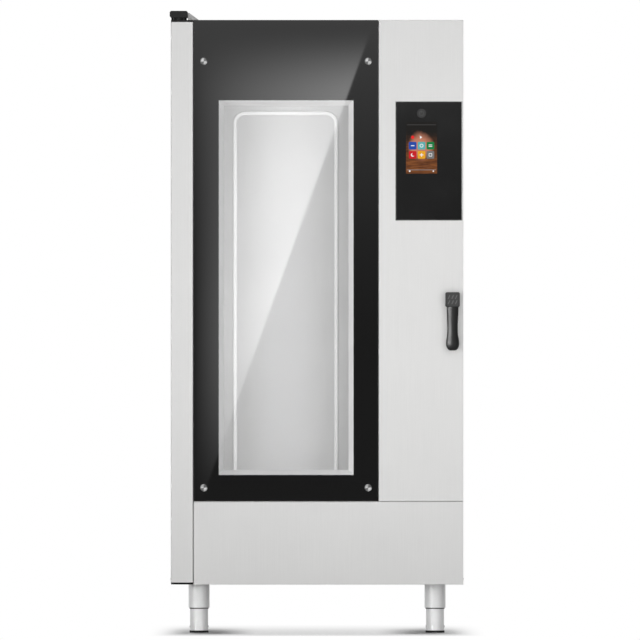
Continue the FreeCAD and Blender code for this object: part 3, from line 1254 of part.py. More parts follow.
def control_board():
    """The circuit board on four legs, with the switch behind the button."""
    gap = HOUSING_WALL + BOARD_MARGIN
    xs = around(HOUSING_X, -gap)
    zs = around(HOUSING_Z, -gap)
    board = block(xs, (BOARD_FRONT, BOARD_BACK), zs)
    legs = [rod((x, BOARD_BACK, z), Y_AXIS, BOARD_LEG_RADIUS, BOARD_RISE)
            for x in around(xs, -BOARD_MARGIN) for z in around(zs, -BOARD_MARGIN)]
    tip = button_stem_end() + BUTTON_TRAVEL + EASE
    switch = block(centred(BUTTON_X, SWITCH_SIDE), (tip, BOARD_FRONT), centred(BUTTON_Z, SWITCH_SIDE))
    return fused([board, switch] + legs)


def button_stem_end():
    """How deep the button's stem reaches at rest."""
    return CONTROL_BACK + EASE + BUTTON_FLANGE_HEIGHT + BUTTON_STEM


def power_button():
    """The round push button, kept behind the glass by its flange."""
    face = DOOR_FRONT + SCREEN_RECESS
    flange_front = CONTROL_BACK + EASE
    cap = rod((BUTTON_X, face, BUTTON_Z), Y_AXIS, BUTTON_RADIUS, flange_front - face)
    start = (BUTTON_X, flange_front, BUTTON_Z)
    flange = rod(start, Y_AXIS, BUTTON_RADIUS + BUTTON_FLANGE, BUTTON_FLANGE_HEIGHT)
    stem = rod(start, Y_AXIS, BUTTON_STEM_RADIUS, button_stem_end() - flange_front)
    return fused([cap, flange, stem])


def handle_rose():
    """The round base of the handle on the door."""
    start = (HANDLE_X, DOOR_FRONT - ROSE_HEIGHT, HANDLE_Z)
    rose = rod(start, Y_AXIS, ROSE_RADIUS, ROSE_HEIGHT)
    rose = rose.makeChamfer(ROSE_CHAMFER, front_edges(rose, start[1]))
    return rose.cut(rod(start, Y_AXIS, SPINDLE_RADIUS + FIT, ROSE_HEIGHT))


def handle_head():
    """The rounded head of the lever with slanted grip marks on its face."""
    xs = centred(HANDLE_X, HEAD_WIDTH)
    zs = centred(HANDLE_Z, HEAD_HEIGHT)
    head = block(xs, (HEAD_FRONT, HEAD_BACK), zs)
    head = head.makeFillet(HEAD_EDGE, straight_edges(head, Y_AXIS))
    head = head.makeFillet(HEAD_FACE_EDGE, front_edges(head, HEAD_FRONT))
    mark = rounded(centred(HANDLE_X, GRIP_MARK_WIDTH), (HEAD_FRONT - GRIP_MARK_HEIGHT, HEAD_FRONT),
                   centred(HANDLE_Z, GRIP_MARK_LENGTH), Y_AXIS, GRIP_MARK_WIDTH * SLOT_ROUND)
    mark = turned(mark, (HANDLE_X, HEAD_FRONT, HANDLE_Z), Y_AXIS, GRIP_MARK_SLANT)
    marks = []
    for i in range(GRIP_MARKS):
        for j in (-1, 1):
            copy = mark.copy()
            copy.translate(Vector((i - (GRIP_MARKS - 1) / 2) * GRIP_MARK_PITCH, 0, j * GRIP_MARK_RISE))
            marks.append(copy)
    start = (HANDLE_X, HEAD_BACK - SPINDLE_IN_HEAD, HANDLE_Z)
    return fused([head] + marks).cut(rod(start, Y_AXIS, SPINDLE_RADIUS + FIT, SPINDLE_IN_HEAD))


def handle_grip():
    """The waisted grip that hangs from the head, lofted through ellipses."""
    shoulder = (GRIP_TOP_WIDTH + GRIP_WAIST_WIDTH) / 2
    swell = (GRIP_WAIST_WIDTH + GRIP_BULB_WIDTH) / 2
    stations = [(0.0, GRIP_TOP_WIDTH), (0.25, shoulder), (0.5, GRIP_WAIST_WIDTH), (0.7, swell),
                (0.86, GRIP_BULB_WIDTH), (0.96, GRIP_BULB_WIDTH * 0.78), (1.0, GRIP_BULB_WIDTH * 0.3)]
    y = HEAD_FRONT + GRIP_BULB_WIDTH * GRIP_DEPTH_SHARE / 2
    wires = []
    for share, width in stations:
        centre = Vector(HANDLE_X, y, HEAD_BOTTOM - share * GRIP_LENGTH)
        side = centre + X_AXIS * (width / 2)
        front = centre + Y_AXIS * (width / 2 * GRIP_DEPTH_SHARE)
        wires.append(Part.Wire(Part.Ellipse(side, front, centre).toShape()))
    return Part.makeLoft(wires, True, False)


def handle_spindle():
    """The spindle through the door and the latch tongue on its end."""
    start = HEAD_BACK - SPINDLE_IN_HEAD + EASE
    spindle = rod((HANDLE_X, start, HANDLE_Z), Y_AXIS, SPINDLE_RADIUS, TONGUE_BACK - start)
    hub = rod((HANDLE_X, TONGUE_FRONT, HANDLE_Z), Y_AXIS, TONGUE_HUB_RADIUS, TONGUE_THICKNESS)
    zs = (HANDLE_Z - TONGUE_LENGTH, HANDLE_Z)
    nose = block(centred(HANDLE_X, TONGUE_WIDTH), (TONGUE_FRONT, TONGUE_BACK), zs)
    tip = [edge for edge in straight_edges(nose, Y_AXIS) if edge.BoundBox.ZMax < zs[0] + EASE]
    nose = nose.makeFillet(TONGUE_ROUND, tip)
    bore = rod((HANDLE_X, TONGUE_FRONT, HANDLE_Z), Y_AXIS, SPINDLE_RADIUS + FIT, TONGUE_THICKNESS)
    return [spindle, fused([hub, nose]).cut(bore)]


def latch_keeper():
    """The plate behind the front frame whose lip holds the tongue when the handle is pulled tight."""
    edge = HANDLE_X + TONGUE_WIDTH / 2 + TONGUE_SIDE_GAP
    low = HANDLE_Z - TONGUE_LENGTH - LATCH_HOLE_MARGIN
    ys = (KEEPER_FRONT, KEEPER_FRONT + KEEPER_SHEET)
    zs = (low - KEEPER_LIP, HANDLE_Z - TONGUE_HUB_RADIUS - TONGUE_SIDE_GAP)
    return rounded((edge, edge + KEEPER_LIP), ys, zs, Y_AXIS, KEEPER_SHEET / 2)


def parts():
    """Every node by name, as a solid or a list of solids."""
    named = {
        "base_frame": base_frame(),
        "bottom_panel": bottom_panel(),
        "top_panel": top_panel(),
        "left_side_panel": left_side_panel(),
        "right_side_panel": right_side_panel(),
        "back_panel": back_panel(),
        "front_frame": front_frame(),
        "door_gasket": door_gasket(),
        "cavity_shell": cavity_shell(),
        "cavity_back_wall": cavity_back_wall(),
        "insulation": insulation(),
        "air_baffle": [air_baffle()] + baffle_posts(),
        "rack_rails": rack_rails(),
        "fan_motors": fan_motors() + motor_mounts(),
        "heating_elements": heating_elements(),
        "lamp_housings": lamp_housings(),
        "lamp_lenses": lamp_lenses(),
        "exhaust_pipe": exhaust_pipe(),
        "drain_pipe": drain_pipe(),
        "water_line": water_line(),
        "cable_gland": cable_gland(),
        "electrical_tray": electrical_tray(),
        "foot_sleeves": foot_sleeves(),
        "hinge_top_bracket": hinge_top_bracket(),
        "hinge_bottom_bracket": hinge_bottom_bracket(),
        "hinge_block": hinge_block(),
        "hinge_tie": hinge_tie(),
        "hinge_pins": hinge_pins(),
        "latch_keeper": latch_keeper(),
        "hinge_column": hinge_column(),
        "column_plugs": column_plugs(),
        "door_frame": door_frame(),
        "door_inner_skin": door_inner_skin(),
        "door_top_cover": door_top_cover(),
        "door_insulation": door_insulation(),
        "outer_glass": outer_glass(),
        "glass_border": glass_border(),
        "glass_bolts": glass_bolts(),
        "window_reveal": window_reveal(),
        "inner_glass": inner_glass(),
        "inner_glass_seal": inner_glass_seal(),
        "right_panel": right_panel(),
        "lower_panel": lower_panel(),
        "control_bezel": control_bezel(),
        "control_glass": control_glass(),
        "display_module": display_module(),
        "control_housing": control_housing(),
        "control_board": control_board(),
        "power_button": power_button(),
        "handle_rose": handle_rose(),
        "handle_head": handle_head(),
        "handle_grip": handle_grip(),
        "handle_spindle": handle_spindle(),
    }
    for name, z in zip(("lower", "middle", "upper"), FAN_ZS):
        named["fan_" + name] = fan_rotor(z)
    for corner, place in foot_places().items():
        named["leg_" + corner] = foot_leg(*place)
    return named


os.makedirs("parts", exist_ok=True)
for name, shape in parts().items():
    if isinstance(shape, list):
        shape = Part.makeCompound(shape)
    shape.exportStep("parts/" + name + ".step")
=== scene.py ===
import math

import bpy
from mathutils import Matrix, Vector


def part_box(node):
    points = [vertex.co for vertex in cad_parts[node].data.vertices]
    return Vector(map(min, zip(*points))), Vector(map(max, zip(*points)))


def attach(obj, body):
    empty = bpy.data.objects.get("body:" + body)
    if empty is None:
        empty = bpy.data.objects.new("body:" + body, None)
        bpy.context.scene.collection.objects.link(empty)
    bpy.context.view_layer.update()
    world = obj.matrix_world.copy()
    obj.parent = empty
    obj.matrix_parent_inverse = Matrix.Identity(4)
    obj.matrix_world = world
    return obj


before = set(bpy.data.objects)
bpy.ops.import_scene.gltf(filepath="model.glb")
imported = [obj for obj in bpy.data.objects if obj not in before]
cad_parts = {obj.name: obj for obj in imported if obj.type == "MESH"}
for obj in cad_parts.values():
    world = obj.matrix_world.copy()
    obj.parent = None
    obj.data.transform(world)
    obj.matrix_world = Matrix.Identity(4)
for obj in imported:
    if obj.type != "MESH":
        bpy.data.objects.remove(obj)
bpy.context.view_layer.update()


def middle(node):
    """The middle of a node's box."""
    low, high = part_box(node)
    return (low + high) / 2


# Places on the part, in metres
GLASS_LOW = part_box("outer_glass")[0]
GRIP_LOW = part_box("handle_grip")[0]
SCREEN = middle("display_module")
BUTTON = middle("power_button")
FOOT = middle("leg_front_right")

# Ways that a screw can look
BACK = (0, 1, 0)
UP = (0, 0, 1)
LEFTWARD = (-1, 0, 0)
RIGHTWARD = (1, 0, 0)

# Camera, from the photograph's framing
CAMERA_DISTANCE = 40.0
CAMERA_REACH = 200.0
CAMERA_X = 0.009
CAMERA_Z = 0.955
VIEW_WIDTH = 1.9475
SENSOR = 36.0

# The room: its light on matt surfaces, and how much darker gloss sees it to the sides, below and above
ROOM_LIGHT = 0.30
SIDE_DARK = 0.75
BELOW_DARK = 0.4
ABOVE_DARK = 0.4
HORIZON = 0.30

# The dim wall behind the camera, as the door mirrors it: grey levels, and soft edges in metres on the door
WALL_GREY = 0.11
WALL_GLOW = 0.44
WALL_GLOW_FOOT = 0.8
WALL_GLOW_HEIGHT = 1.04
WALL_LEFT = (-1.9, -0.8)
WALL_RIGHT = (0.9, 2.0)
WALL_FOOT = (-0.9, 0.1)
WALL_TOP = (2.0, 3.1)

# How straight ahead a mirrored ray goes: the least that the maths takes, and where the wall fades in
LEAST_AHEAD = 0.05
WALL_AHEAD = (0.5, 0.6)

# The soft panel on that wall, with its slanted edge across the door glass
PANEL_LIGHT = 2.15
PANEL_EDGE_X = -0.0549
PANEL_EDGE_Z = 1.2288
PANEL_EDGE_SLOPE = 0.36
PANEL_EDGE_SOFT = 0.004
PANEL_FADE = 0.85
PANEL_LEAST_WIDTH = 0.03
PANEL_FOOT = (0.38, 1.06)
PANEL_TOP = (1.62, 1.85)

# Lamps: name, place, aim, size in metres, watts, spread, and the node that a lamp lights alone.
# The side strip gives the grip its highlight, and is kept off the steel and the glass beside it.
NARROW_BEAM = math.radians(32)
WIDE_BEAM = math.radians(110)
OPEN_BEAM = math.pi
STRIP_HEIGHT = 1.34
DOOR_AIM = (0, -0.4, 1.12)
GRIP_AIM = (GRIP_LOW.x, GRIP_LOW.y, STRIP_HEIGHT)
LAMPS = (
    ("key", (-6.5, -8.4, 1.25), DOOR_AIM, (2.6, 2.6), 23.8, NARROW_BEAM, None),
    ("fill", (0.55, -3.2, 1.25), DOOR_AIM, (2.2, 2.2), 16.4, WIDE_BEAM, None),
    ("rear", (0.9, 3.4, 2.0), DOOR_AIM, (1.8, 1.8), 22.0, WIDE_BEAM, None),
    ("side_strip", (-3.12, -3.38, STRIP_HEIGHT), GRIP_AIM, (4.8, 1.8), 414.0, OPEN_BEAM, "handle_grip"),
    ("cavity_lamp", (-0.09, 0.05, 1.05), (-0.09, 1.0, 1.05), (0.08, 1.5), 2.06, OPEN_BEAM, None),
)

# The floor, and where it shows its own shade: under the oven, and near each front foot
FLOOR_SIZE = 9.0
FLOOR_DROP = 0.0004
FLOOR_GREY = 0.72
UNDER_SHADE = 0.44
UNDER_FRONT = (-0.75, -0.58)
UNDER_BACK = (0.6, 0.85)
UNDER_LENGTH = 1.25
UNDER_SIDE = (0.40, 0.52)
FOOT_SHADE = 0.7
FOOT_INNER = (-0.19, -0.02)
FOOT_OUTER = (0.02, 0.12)
FOOT_STEP = (-0.01, 0.03)
FOOT_STEP_SHARE = 0.4
FOOT_FRONT = (-0.29, -0.13)
FOOT_BACK = (0.0, 0.9)

# The floor turns pale where gloss mirrors it far off, between these squares of the distance
FAR_FADE = (2.0, 18.0)
FAR_PALE = 0.8

# Finishes: grey levels in linear light, lines and grains to a metre, and depths in metres
STEEL = 0.74
STEEL_WARM = (1.0, 0.998, 0.99)
NEUTRAL = (1, 1, 1)
PART_METAL = 0.45
# Painted highlight: the pale grey on the bead's crest, and the depths that the crest spans
BEAD_HIGHLIGHT_GREY = 0.88
BEAD_CREST = (0.0005, 0.003)
BRUSH_FINE = 900.0
BRUSH_LONG = 6.0
BRUSH_DEPTH = 0.0002
HANDLING_MARKS = 5.0
PLASTIC_GRAIN = 2600.0
PLASTIC_WEAR = 14.0
GRAIN_DEPTH = 0.0003
MARK_GREY = 0.09
MARK_DEPTH = (0.0003, 0.0007)
GLASS_FILM = 9.0
GLASS_SMOOTH = 0.004
GLASS_SLANT = 0.85
PRINT_EDGE = 0.0003
SPACER_RADIUS = 0.012
LATHE_RINGS = 9000.0
LAMP_LIGHT = 0.5
LAMP_RIBS = 60.0
PAINT_PEEL = 700.0
PAINT_CLOUD = 7.0
DUST = 60.0
DUST_FILM = 4.0
LEG_LINES = (60.0, 60.0, 1500.0)
PAD_TOP = (0.0066, 0.0072)
WOOL_FIBRES = (160.0, 160.0, 700.0)
WOOL_DEPTH = 0.003
RUBBER_BLOOM = 45.0
CAST_MOTTLE = 130.0
CAST_STAIN = 11.0
SKIN_DEPTH = 0.0006
BOARD_TRACKS = (500.0, 20.0, 90.0)
WHITE_MARK = 0.85

# Screen layout, in millimetres from the screen's middle
MILLIMETRES = 1000
BOX_SOFT = 0.35
DISC_SOFT = 0.3
TILE_HALF = 11.6
TILE_CORNER = 3.2
TILE_COLUMNS = (-27.0, 0.0, 27.0)
TILE_ROWS = (6.5, -21.5)
TILE_COLOURS = (
    ((0.012, 0.06, 0.36, 1), (0.10, 0.42, 0.42, 1), (0.0, 0.19, 0.045, 1)),
    ((0.55, 0.006, 0.012, 1), (0.78, 0.36, 0.012, 1), (0.17, 0.17, 0.17, 1)),
)
GLOW_CLOUDS = 26.0
GLOW_DRIFT = 60
EMBER_MIDDLE = (-2, 4)
EMBER_HALF = (46, 50)
TABLE_FADE = (-50.0, 50.0)
WOOD_GRAIN = (30.0, 30.0, 260.0)
SCREEN_DARK = (0.004, 0.003, 0.002, 1)
WOOD_DARK = (0.07, 0.018, 0.004, 1)
WOOD_LIGHT = (0.22, 0.07, 0.016, 1)
EMBER_COLOUR = (0.52, 0.20, 0.12, 1)
RED_DOT = (0.80, 0.012, 0.012, 1)
RED_DOT_RADIUS = 5.0
START_X = 2.0
START_Z = 32.0
START_LEFT = 5.0
START_SLOPE = 0.72
PAGE_LINE = (44.0, 0.5)
PAGE_CORNER = 0.4

# The button's ring and stroke, as soft edges in millimetres from its middle
RING_INSIDE = (5.6, 6.0)
RING_OUTSIDE = (7.0, 7.4)
RING_GAP = (2.0, 2.4)
RING_GAP_FOOT = (0.0, 0.5)
STROKE_SIDE = (0.6, 0.9)
STROKE_FOOT = (1.6, 2.0)
STROKE_TOP = (8.0, 8.4)
BUTTON_GRAIN = 2200.0
DISH_RADIUS = 14.0
DISH_DEPTH = 0.001

# Screws, hand screws and foot rings, in metres. An end is the way from a panel's edge to the first of a row
SCREW_RADIUS = 0.0048
SCREW_HEIGHT = 0.0024
SCREW_KEY = 0.0021
PANEL_INSET = 0.0075
BACK_END = 0.045
BACK_TOP_END = 0.12
BACK_FOOT_INSET = 0.02
BACK_FOOT_PLACES = (-0.32, -0.21, 0.02, 0.13, 0.24, 0.33)
ROOF_FRONT_END = 0.10
ROOF_BACK_END = 0.05
SIDE_END = 0.06
SIDE_FOOT_INSET = 0.012
SKIN_INSET = 0.010
SKIN_END = 0.03
PANE_MARGIN = 0.014
PANE_END = 0.06
KNOB_RADIUS = 0.009
KNOB_HEIGHT = 0.008
KNOB_INSET = 0.016
KNOB_END = 0.05
WASHER = 0.0008
# The foot rings are painted shade: dark rings under the mouths of the foot sleeves
SHADE_RING_BORE = 0.0278
SHADE_RING_RADIUS = 0.0292
SHADE_RING_HEIGHT = 0.0028


class Value:
    """A shader socket. Arithmetic on it adds Math nodes to its tree."""

    def __init__(self, tree, socket):
        self.tree = tree
        self.socket = socket

    def math(self, operation, *others):
        return self.tree.math(operation, self, *others)

    def __add__(self, other):
        return self.math("ADD", other)

    def __sub__(self, other):
        return self.math("SUBTRACT", other)

    def __mul__(self, other):
        return self.math("MULTIPLY", other)

    def __truediv__(self, other):
        return self.math("DIVIDE", other)

    def __pow__(self, other):
        return self.math("POWER", other)

    def __rsub__(self, other):
        return self.tree.math("SUBTRACT", other, self)

    __radd__ = __add__
    __rmul__ = __mul__

    def most(self, other):
        return self.math("MAXIMUM", other)

    def least(self, other):
        return self.math("MINIMUM", other)

    def size(self):
        return self.math("ABSOLUTE")

    def rise(self, low, high):
        """0 below low, 1 above high, smooth between."""
        return self.tree.add("ShaderNodeMapRange", {"interpolation_type": "SMOOTHSTEP"},
                             {"Value": self, "From Min": low, "From Max": high})

    def fall(self, low, high):
        """1 below low, 0 above high, smooth between."""
        return 1 - self.rise(low, high)

    def colour(self, low, high):
        """A colour that goes from low to high as this value goes from 0 to 1."""
        # Inputs 6 and 7 are the Mix node's two colours, and output 2 is its mixed colour
        return self.tree.add("ShaderNodeMix", {"data_type": "RGBA"}, {0: self, 6: low, 7: high}, 2)

    def out(self, name):
        """Another output of the same node."""
        return Value(self.tree, self.socket.node.outputs[name])


class Nodes:
    """A node tree whose nodes are added by type, settings and sockets."""

    def __init__(self, owner):
        owner.use_nodes = True
        self.tree = owner.node_tree

    def add(self, kind, settings=None, sockets=None, output=0):
        node = self.tree.nodes.new(kind)
        for name, value in (settings or {}).items():
            setattr(node, name, value)
        for name, value in (sockets or {}).items():
            self.feed(node.inputs[name], value)
        return Value(self, node.outputs[output])

    def feed(self, socket, value):
        if isinstance(value, Value):
            self.tree.links.new(value.socket, socket)
        else:
            socket.default_value = value

    def math(self, operation, *values):
        return self.add("ShaderNodeMath", {"operation": operation}, dict(enumerate(values)))

    def place(self):
        """The Object coordinates, in metres."""
        return self.add("ShaderNodeTexCoord", output="Object")

    def parts(self, place):
        """The three parts of a place."""
        x = self.add("ShaderNodeSeparateXYZ", None, {0: place})
        return x, x.out("Y"), x.out("Z")

    def noise(self, place, scale, detail=2.0, stretch=(1, 1, 1)):
        """Soft noise from 0 to 1, with its own scale along each axis."""
        mapped = self.add("ShaderNodeMapping", None, {"Vector": place, "Scale": stretch})
        return self.add("ShaderNodeTexNoise", None,
                        {"Vector": mapped, "Scale": scale, "Detail": detail, "Roughness": 0.55})


class Finish(Nodes):
    """A material on one Principled shader."""

    def __init__(self, name, sockets=None):
        self.material = bpy.data.materials.new(name)
        super().__init__(self.material)
        self.shader = self.tree.nodes["Principled BSDF"]
        self.output = self.tree.nodes["Material Output"]
        self.set(sockets or {})

    def set(self, sockets):
        for name, value in sockets.items():
            self.feed(self.shader.inputs[name], value)

    def bump(self, height, strength, distance):
        return self.add("ShaderNodeBump", None,
                        {"Height": height, "Strength": strength, "Distance": distance})

    def tint(self, mask, colour):
        """Lays a colour over the base colour by a mask."""
        plain = Value(self, self.shader.inputs["Base Color"].links[0].from_socket)
        self.set({"Base Color": mask.colour(plain, colour)})

    def mix(self, share, first, second):
        """The surface goes from the first shader to the second as the share goes from 0 to 1."""
        mixed = self.add("ShaderNodeMixShader", None, {0: share, 1: first, 2: second})
        self.feed(self.output.inputs["Surface"], mixed)

    def principled(self):
        return Value(self, self.shader.outputs["BSDF"])

    def see_through(self, share):
        """The shader shows by this share, and the rest is clear."""
        clear = self.add("ShaderNodeBsdfTransparent", None, {"Color": grey(1.0)})
        self.mix(share, clear, self.principled())


def grey(level, tint=NEUTRAL):
    """A grey, or a faintly tinted one, as a colour."""
    return tuple(level * part for part in tint) + (1.0,)


def opening(node, axis):
    """The two edges of the hole through the middle of a flat node, along one axis."""
    centre = middle(node)[axis]
    places = [vertex.co[axis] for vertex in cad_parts[node].data.vertices]
    return max(place for place in places if place < centre), min(place for place in places if place > centre)


def brushed_steel(name, level, rough, along, metal=1.0, tint=STEEL_WARM):
    """Sheet steel with fine brush lines along one axis and faint handling marks."""
    finish = Finish(name, {"Metallic": metal})
    place = finish.place()
    stretch = [BRUSH_FINE] * 3
    stretch[along] = BRUSH_LONG
    lines = finish.noise(place, 1.0, 3.0, stretch)
    marks = finish.noise(place, HANDLING_MARKS, 3.0)
    shade = lines * 0.6 + marks * 0.4
    finish.set({"Base Color": shade.rise(0.2, 0.8).colour(grey(level * 0.95, tint), grey(level * 1.03, tint)),
                "Roughness": rough + (lines - 0.5) * 0.1 + (marks - 0.5) * 0.08,
                "Normal": finish.bump(lines, 0.05, BRUSH_DEPTH)})
    return finish


def beaded_steel(name, level, rough):
    """The cavity steel, with a painted highlight: the crest of the pressed bead painted pale and less
    metallic.
    """
    finish = brushed_steel(name, level, rough, 2, PART_METAL, NEUTRAL)
    y = finish.parts(finish.place())[1]
    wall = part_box("cavity_back_wall")[0].y
    painted_crest_highlight = y.fall(wall + BEAD_CREST[0], wall + BEAD_CREST[1])
    # Painted highlight: the bead's crest is painted pale and less metallic, so it shows as a bright line.
    finish.tint(painted_crest_highlight, grey(BEAD_HIGHLIGHT_GREY))
    finish.set({"Metallic": PART_METAL - painted_crest_highlight * PART_METAL})
    return finish


def satin_plastic(name, level, rough, shine):
    """Moulded plastic with a fine grain."""
    finish = Finish(name, {"Specular IOR Level": shine})
    place = finish.place()
    fine = finish.noise(place, PLASTIC_GRAIN, 2.0)
    wear = finish.noise(place, PLASTIC_WEAR, 4.0)
    finish.set({"Base Color": wear.rise(0.3, 0.75).colour(grey(level), grey(level * 1.35)),
                "Roughness": rough + (wear - 0.5) * 0.16 + (fine - 0.5) * 0.08,
                "Normal": finish.bump(fine, 0.12, GRAIN_DEPTH)})
    return finish


def marked_plastic(name, level, rough, shine):
    """The plastic of the handle's head, with its raised grip marks paler."""
    finish = satin_plastic(name, level, rough, shine)
    y = finish.parts(finish.place())[1]
    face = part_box("handle_head")[0].y
    finish.tint(y.fall(face + MARK_DEPTH[0], face + MARK_DEPTH[1]), grey(MARK_GREY))
    return finish


def from_bolt(place, low, high):
    """How far a place lies from the nearer of two bolts, along one axis."""
    half = (high - low) / 2 - SPACER_RADIUS
    side = place - (low + high) / 2
    return side - half * side.math("SIGN")


def turned_steel(name):
    """Bolt heads off a lathe: fine rings, and a painted reflection: a bright and dark fan painted into the
    colour, standing in for the sheen that turning gives.
    """
    finish = Finish(name, {"Metallic": 1.0})
    x, _, z = finish.parts(finish.place())
    low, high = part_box("glass_bolts")
    across = from_bolt(x, low.x, high.x)
    up = from_bolt(z, low.z, high.z)
    reach = (across * across + up * up).most(1e-8)
    painted_reflection_fan = across * up / reach
    rings = (reach ** 0.5 * LATHE_RINGS).math("SINE")
    # Painted reflection: the bright and dark fan round each bolt is painted into the base colour.
    finish.set({"Base Color": painted_reflection_fan.rise(-0.4, 0.4).colour(grey(0.97), grey(0.28)),
                "Roughness": 0.2 + rings * 0.05,
                "Normal": finish.bump(rings, 0.06, BRUSH_DEPTH)})
    return finish


def film_roughness(finish, place):
    """The faint film that wiping leaves on glass."""
    return GLASS_SMOOTH + finish.noise(place, GLASS_FILM, 3.0).rise(0.45, 0.8) * 0.008


def glass_mirror(finish, head_on):
    """The share of light that the outer face of a pane mirrors, more at a slant."""
    facing = finish.add("ShaderNodeLayerWeight", None, {"Blend": 0.5}, "Facing")
    inside = finish.add("ShaderNodeNewGeometry", None, None, "Backfacing")
    return (head_on + GLASS_SLANT * facing ** 5) * (1 - inside)


def clear_glass(name, head_on):
    """Flat glass that lets light straight through and mirrors a little."""
    finish = Finish(name, {"Base Color": grey(1.0), "Metallic": 1.0})
    finish.set({"Roughness": film_roughness(finish, finish.place())})
    finish.see_through(glass_mirror(finish, head_on))
    return finish


def between(value, low, high):
    """1 between two edges of the print, and 0 outside them."""
    return value.rise(low - PRINT_EDGE, low + PRINT_EDGE) * value.fall(high - PRINT_EDGE, high + PRINT_EDGE)


def printed_glass(name, head_on):
    """The door's front pane: clear in the window, and glossy black where its back is printed."""
    finish = Finish(name, {"Specular IOR Level": 1.0})
    place = finish.place()
    x, _, z = finish.parts(place)
    window = between(x, *opening("glass_border", 0)) * between(z, *opening("glass_border", 2))
    finish.set({"Base Color": window.colour(grey(0.002), grey(1.0)),
                "Metallic": window,
                "Roughness": film_roughness(finish, place)})
    finish.see_through(1 - window * (1 - glass_mirror(finish, head_on)))
    return finish


def lamp_glass(name):
    """Ribbed lamp glass, lit from behind."""
    finish = Finish(name, {"Base Color": grey(0.35), "Emission Strength": LAMP_LIGHT})
    rib = finish.add("ShaderNodeTexWave", {"bands_direction": "Z"},
                     {"Vector": finish.place(), "Scale": LAMP_RIBS})
    finish.set({"Emission Color": rib.colour((0.62, 0.60, 0.56, 1), (1.0, 0.98, 0.95, 1)),
                "Roughness": 0.2 + rib * 0.15})
    return finish


def painted_steel(name, level, rough):
    """Pale stoved paint with a faint orange peel."""
    finish = Finish(name, {"Specular IOR Level": 0.5})
    place = finish.place()
    peel = finish.noise(place, PAINT_PEEL, 2.0)
    cloud = finish.noise(place, PAINT_CLOUD, 3.0)
    finish.set({"Base Color": cloud.colour(grey(level * 0.97), grey(level * 1.02)),
                "Roughness": rough + (cloud - 0.5) * 0.1,
                "Normal": finish.bump(peel, 0.05, GRAIN_DEPTH)})
    return finish


def glossy_black(name, level, rough, shine=0.5):
    """Black enamel or back-painted glass with a faint dust film."""
    finish = Finish(name, {"Specular IOR Level": shine})
    place = finish.place()
    dust = finish.noise(place, DUST, 4.0)
    film = finish.noise(place, DUST_FILM, 3.0)
    finish.set({"Base Color": dust.rise(0.5, 0.9).colour(grey(level), grey(level * 1.5)),
                "Roughness": rough + film.rise(0.4, 0.8) * 0.04})
    return finish


def leg_steel(name):
    """Turned steel legs that stand on black rubber pads."""
    finish = Finish(name)
    place = finish.place()
    lines = finish.noise(place, 1.0, 2.0, LEG_LINES)
    pad = finish.parts(place)[2].fall(*PAD_TOP)
    steel = lines.colour(grey(0.90), grey(0.97))
    finish.set({"Base Color": pad.colour(steel, grey(0.012)),
                "Metallic": (1 - pad) * PART_METAL,
                "Roughness": 0.36 + (lines - 0.5) * 0.08 + pad * 0.4,
                "Normal": finish.bump(lines, 0.05, BRUSH_DEPTH)})
    return finish


def mineral_wool(name):
    """Pressed fibre slabs."""
    finish = Finish(name, {"Specular IOR Level": 0.1})
    fibre = finish.noise(finish.place(), 1.0, 4.0, WOOL_FIBRES)
    finish.set({"Base Color": fibre.colour((0.24, 0.19, 0.10, 1), (0.52, 0.45, 0.28, 1)),
                "Roughness": 0.85 + fibre * 0.1,
                "Normal": finish.bump(fibre, 0.6, WOOL_DEPTH)})
    return finish


def rubber(name):
    """Dark silicone seal with a dusty bloom."""
    finish = Finish(name, {"Specular IOR Level": 0.3})
    bloom = finish.noise(finish.place(), RUBBER_BLOOM, 4.0)
    finish.set({"Base Color": bloom.colour(grey(0.012), grey(0.035)),
                "Roughness": 0.55 + bloom * 0.25,
                "Normal": finish.bump(bloom, 0.15, SKIN_DEPTH)})
    return finish


def cast_metal(name, low, high, rough):
    """Cast or turned metal with a mottled skin."""
    finish = Finish(name, {"Metallic": 1.0})
    place = finish.place()
    mottle = finish.noise(place, CAST_MOTTLE, 4.0)
    stain = finish.noise(place, CAST_STAIN, 3.0)
    finish.set({"Base Color": (mottle * 0.5 + stain * 0.5).rise(0.25, 0.75).colour(low, high),
                "Roughness": rough + (stain - 0.5) * 0.2,
                "Normal": finish.bump(mottle, 0.12, SKIN_DEPTH)})
    return finish


def circuit_board(name):
    """Green lacquered board with fine tracks."""
    finish = Finish(name, {"Specular IOR Level": 0.5})
    lines = finish.noise(finish.place(), 1.0, 1.0, BOARD_TRACKS)
    finish.set({"Base Color": lines.rise(0.5, 0.54).colour((0.004, 0.06, 0.02, 1), (0.01, 0.13, 0.045, 1)),
                "Roughness": 0.35 + lines * 0.15})
    return finish


class Layout:
    """Masks on a flat face, in millimetres from a middle point."""

    def __init__(self, finish, place, centre):
        x, _, z = finish.parts(place)
        self.across = (x - centre.x) * MILLIMETRES
        self.up = (z - centre.z) * MILLIMETRES

    def box(self, x, z, half_x, half_z, corner):
        """1 inside a rounded box."""
        over_x = ((self.across - x).size() - (half_x - corner)).most(0.0)
        over_z = ((self.up - z).size() - (half_z - corner)).most(0.0)
        reach = (over_x * over_x + over_z * over_z) ** 0.5
        return reach.fall(corner - BOX_SOFT, corner + BOX_SOFT)

    def reach(self, x, z):
        """How far each point lies from a spot."""
        over_x = self.across - x
        over_z = self.up - z
        return (over_x * over_x + over_z * over_z) ** 0.5

    def disc(self, x, z, radius):
        """1 inside a disc."""
        return self.reach(x, z).fall(radius - DISC_SOFT, radius + DISC_SOFT)


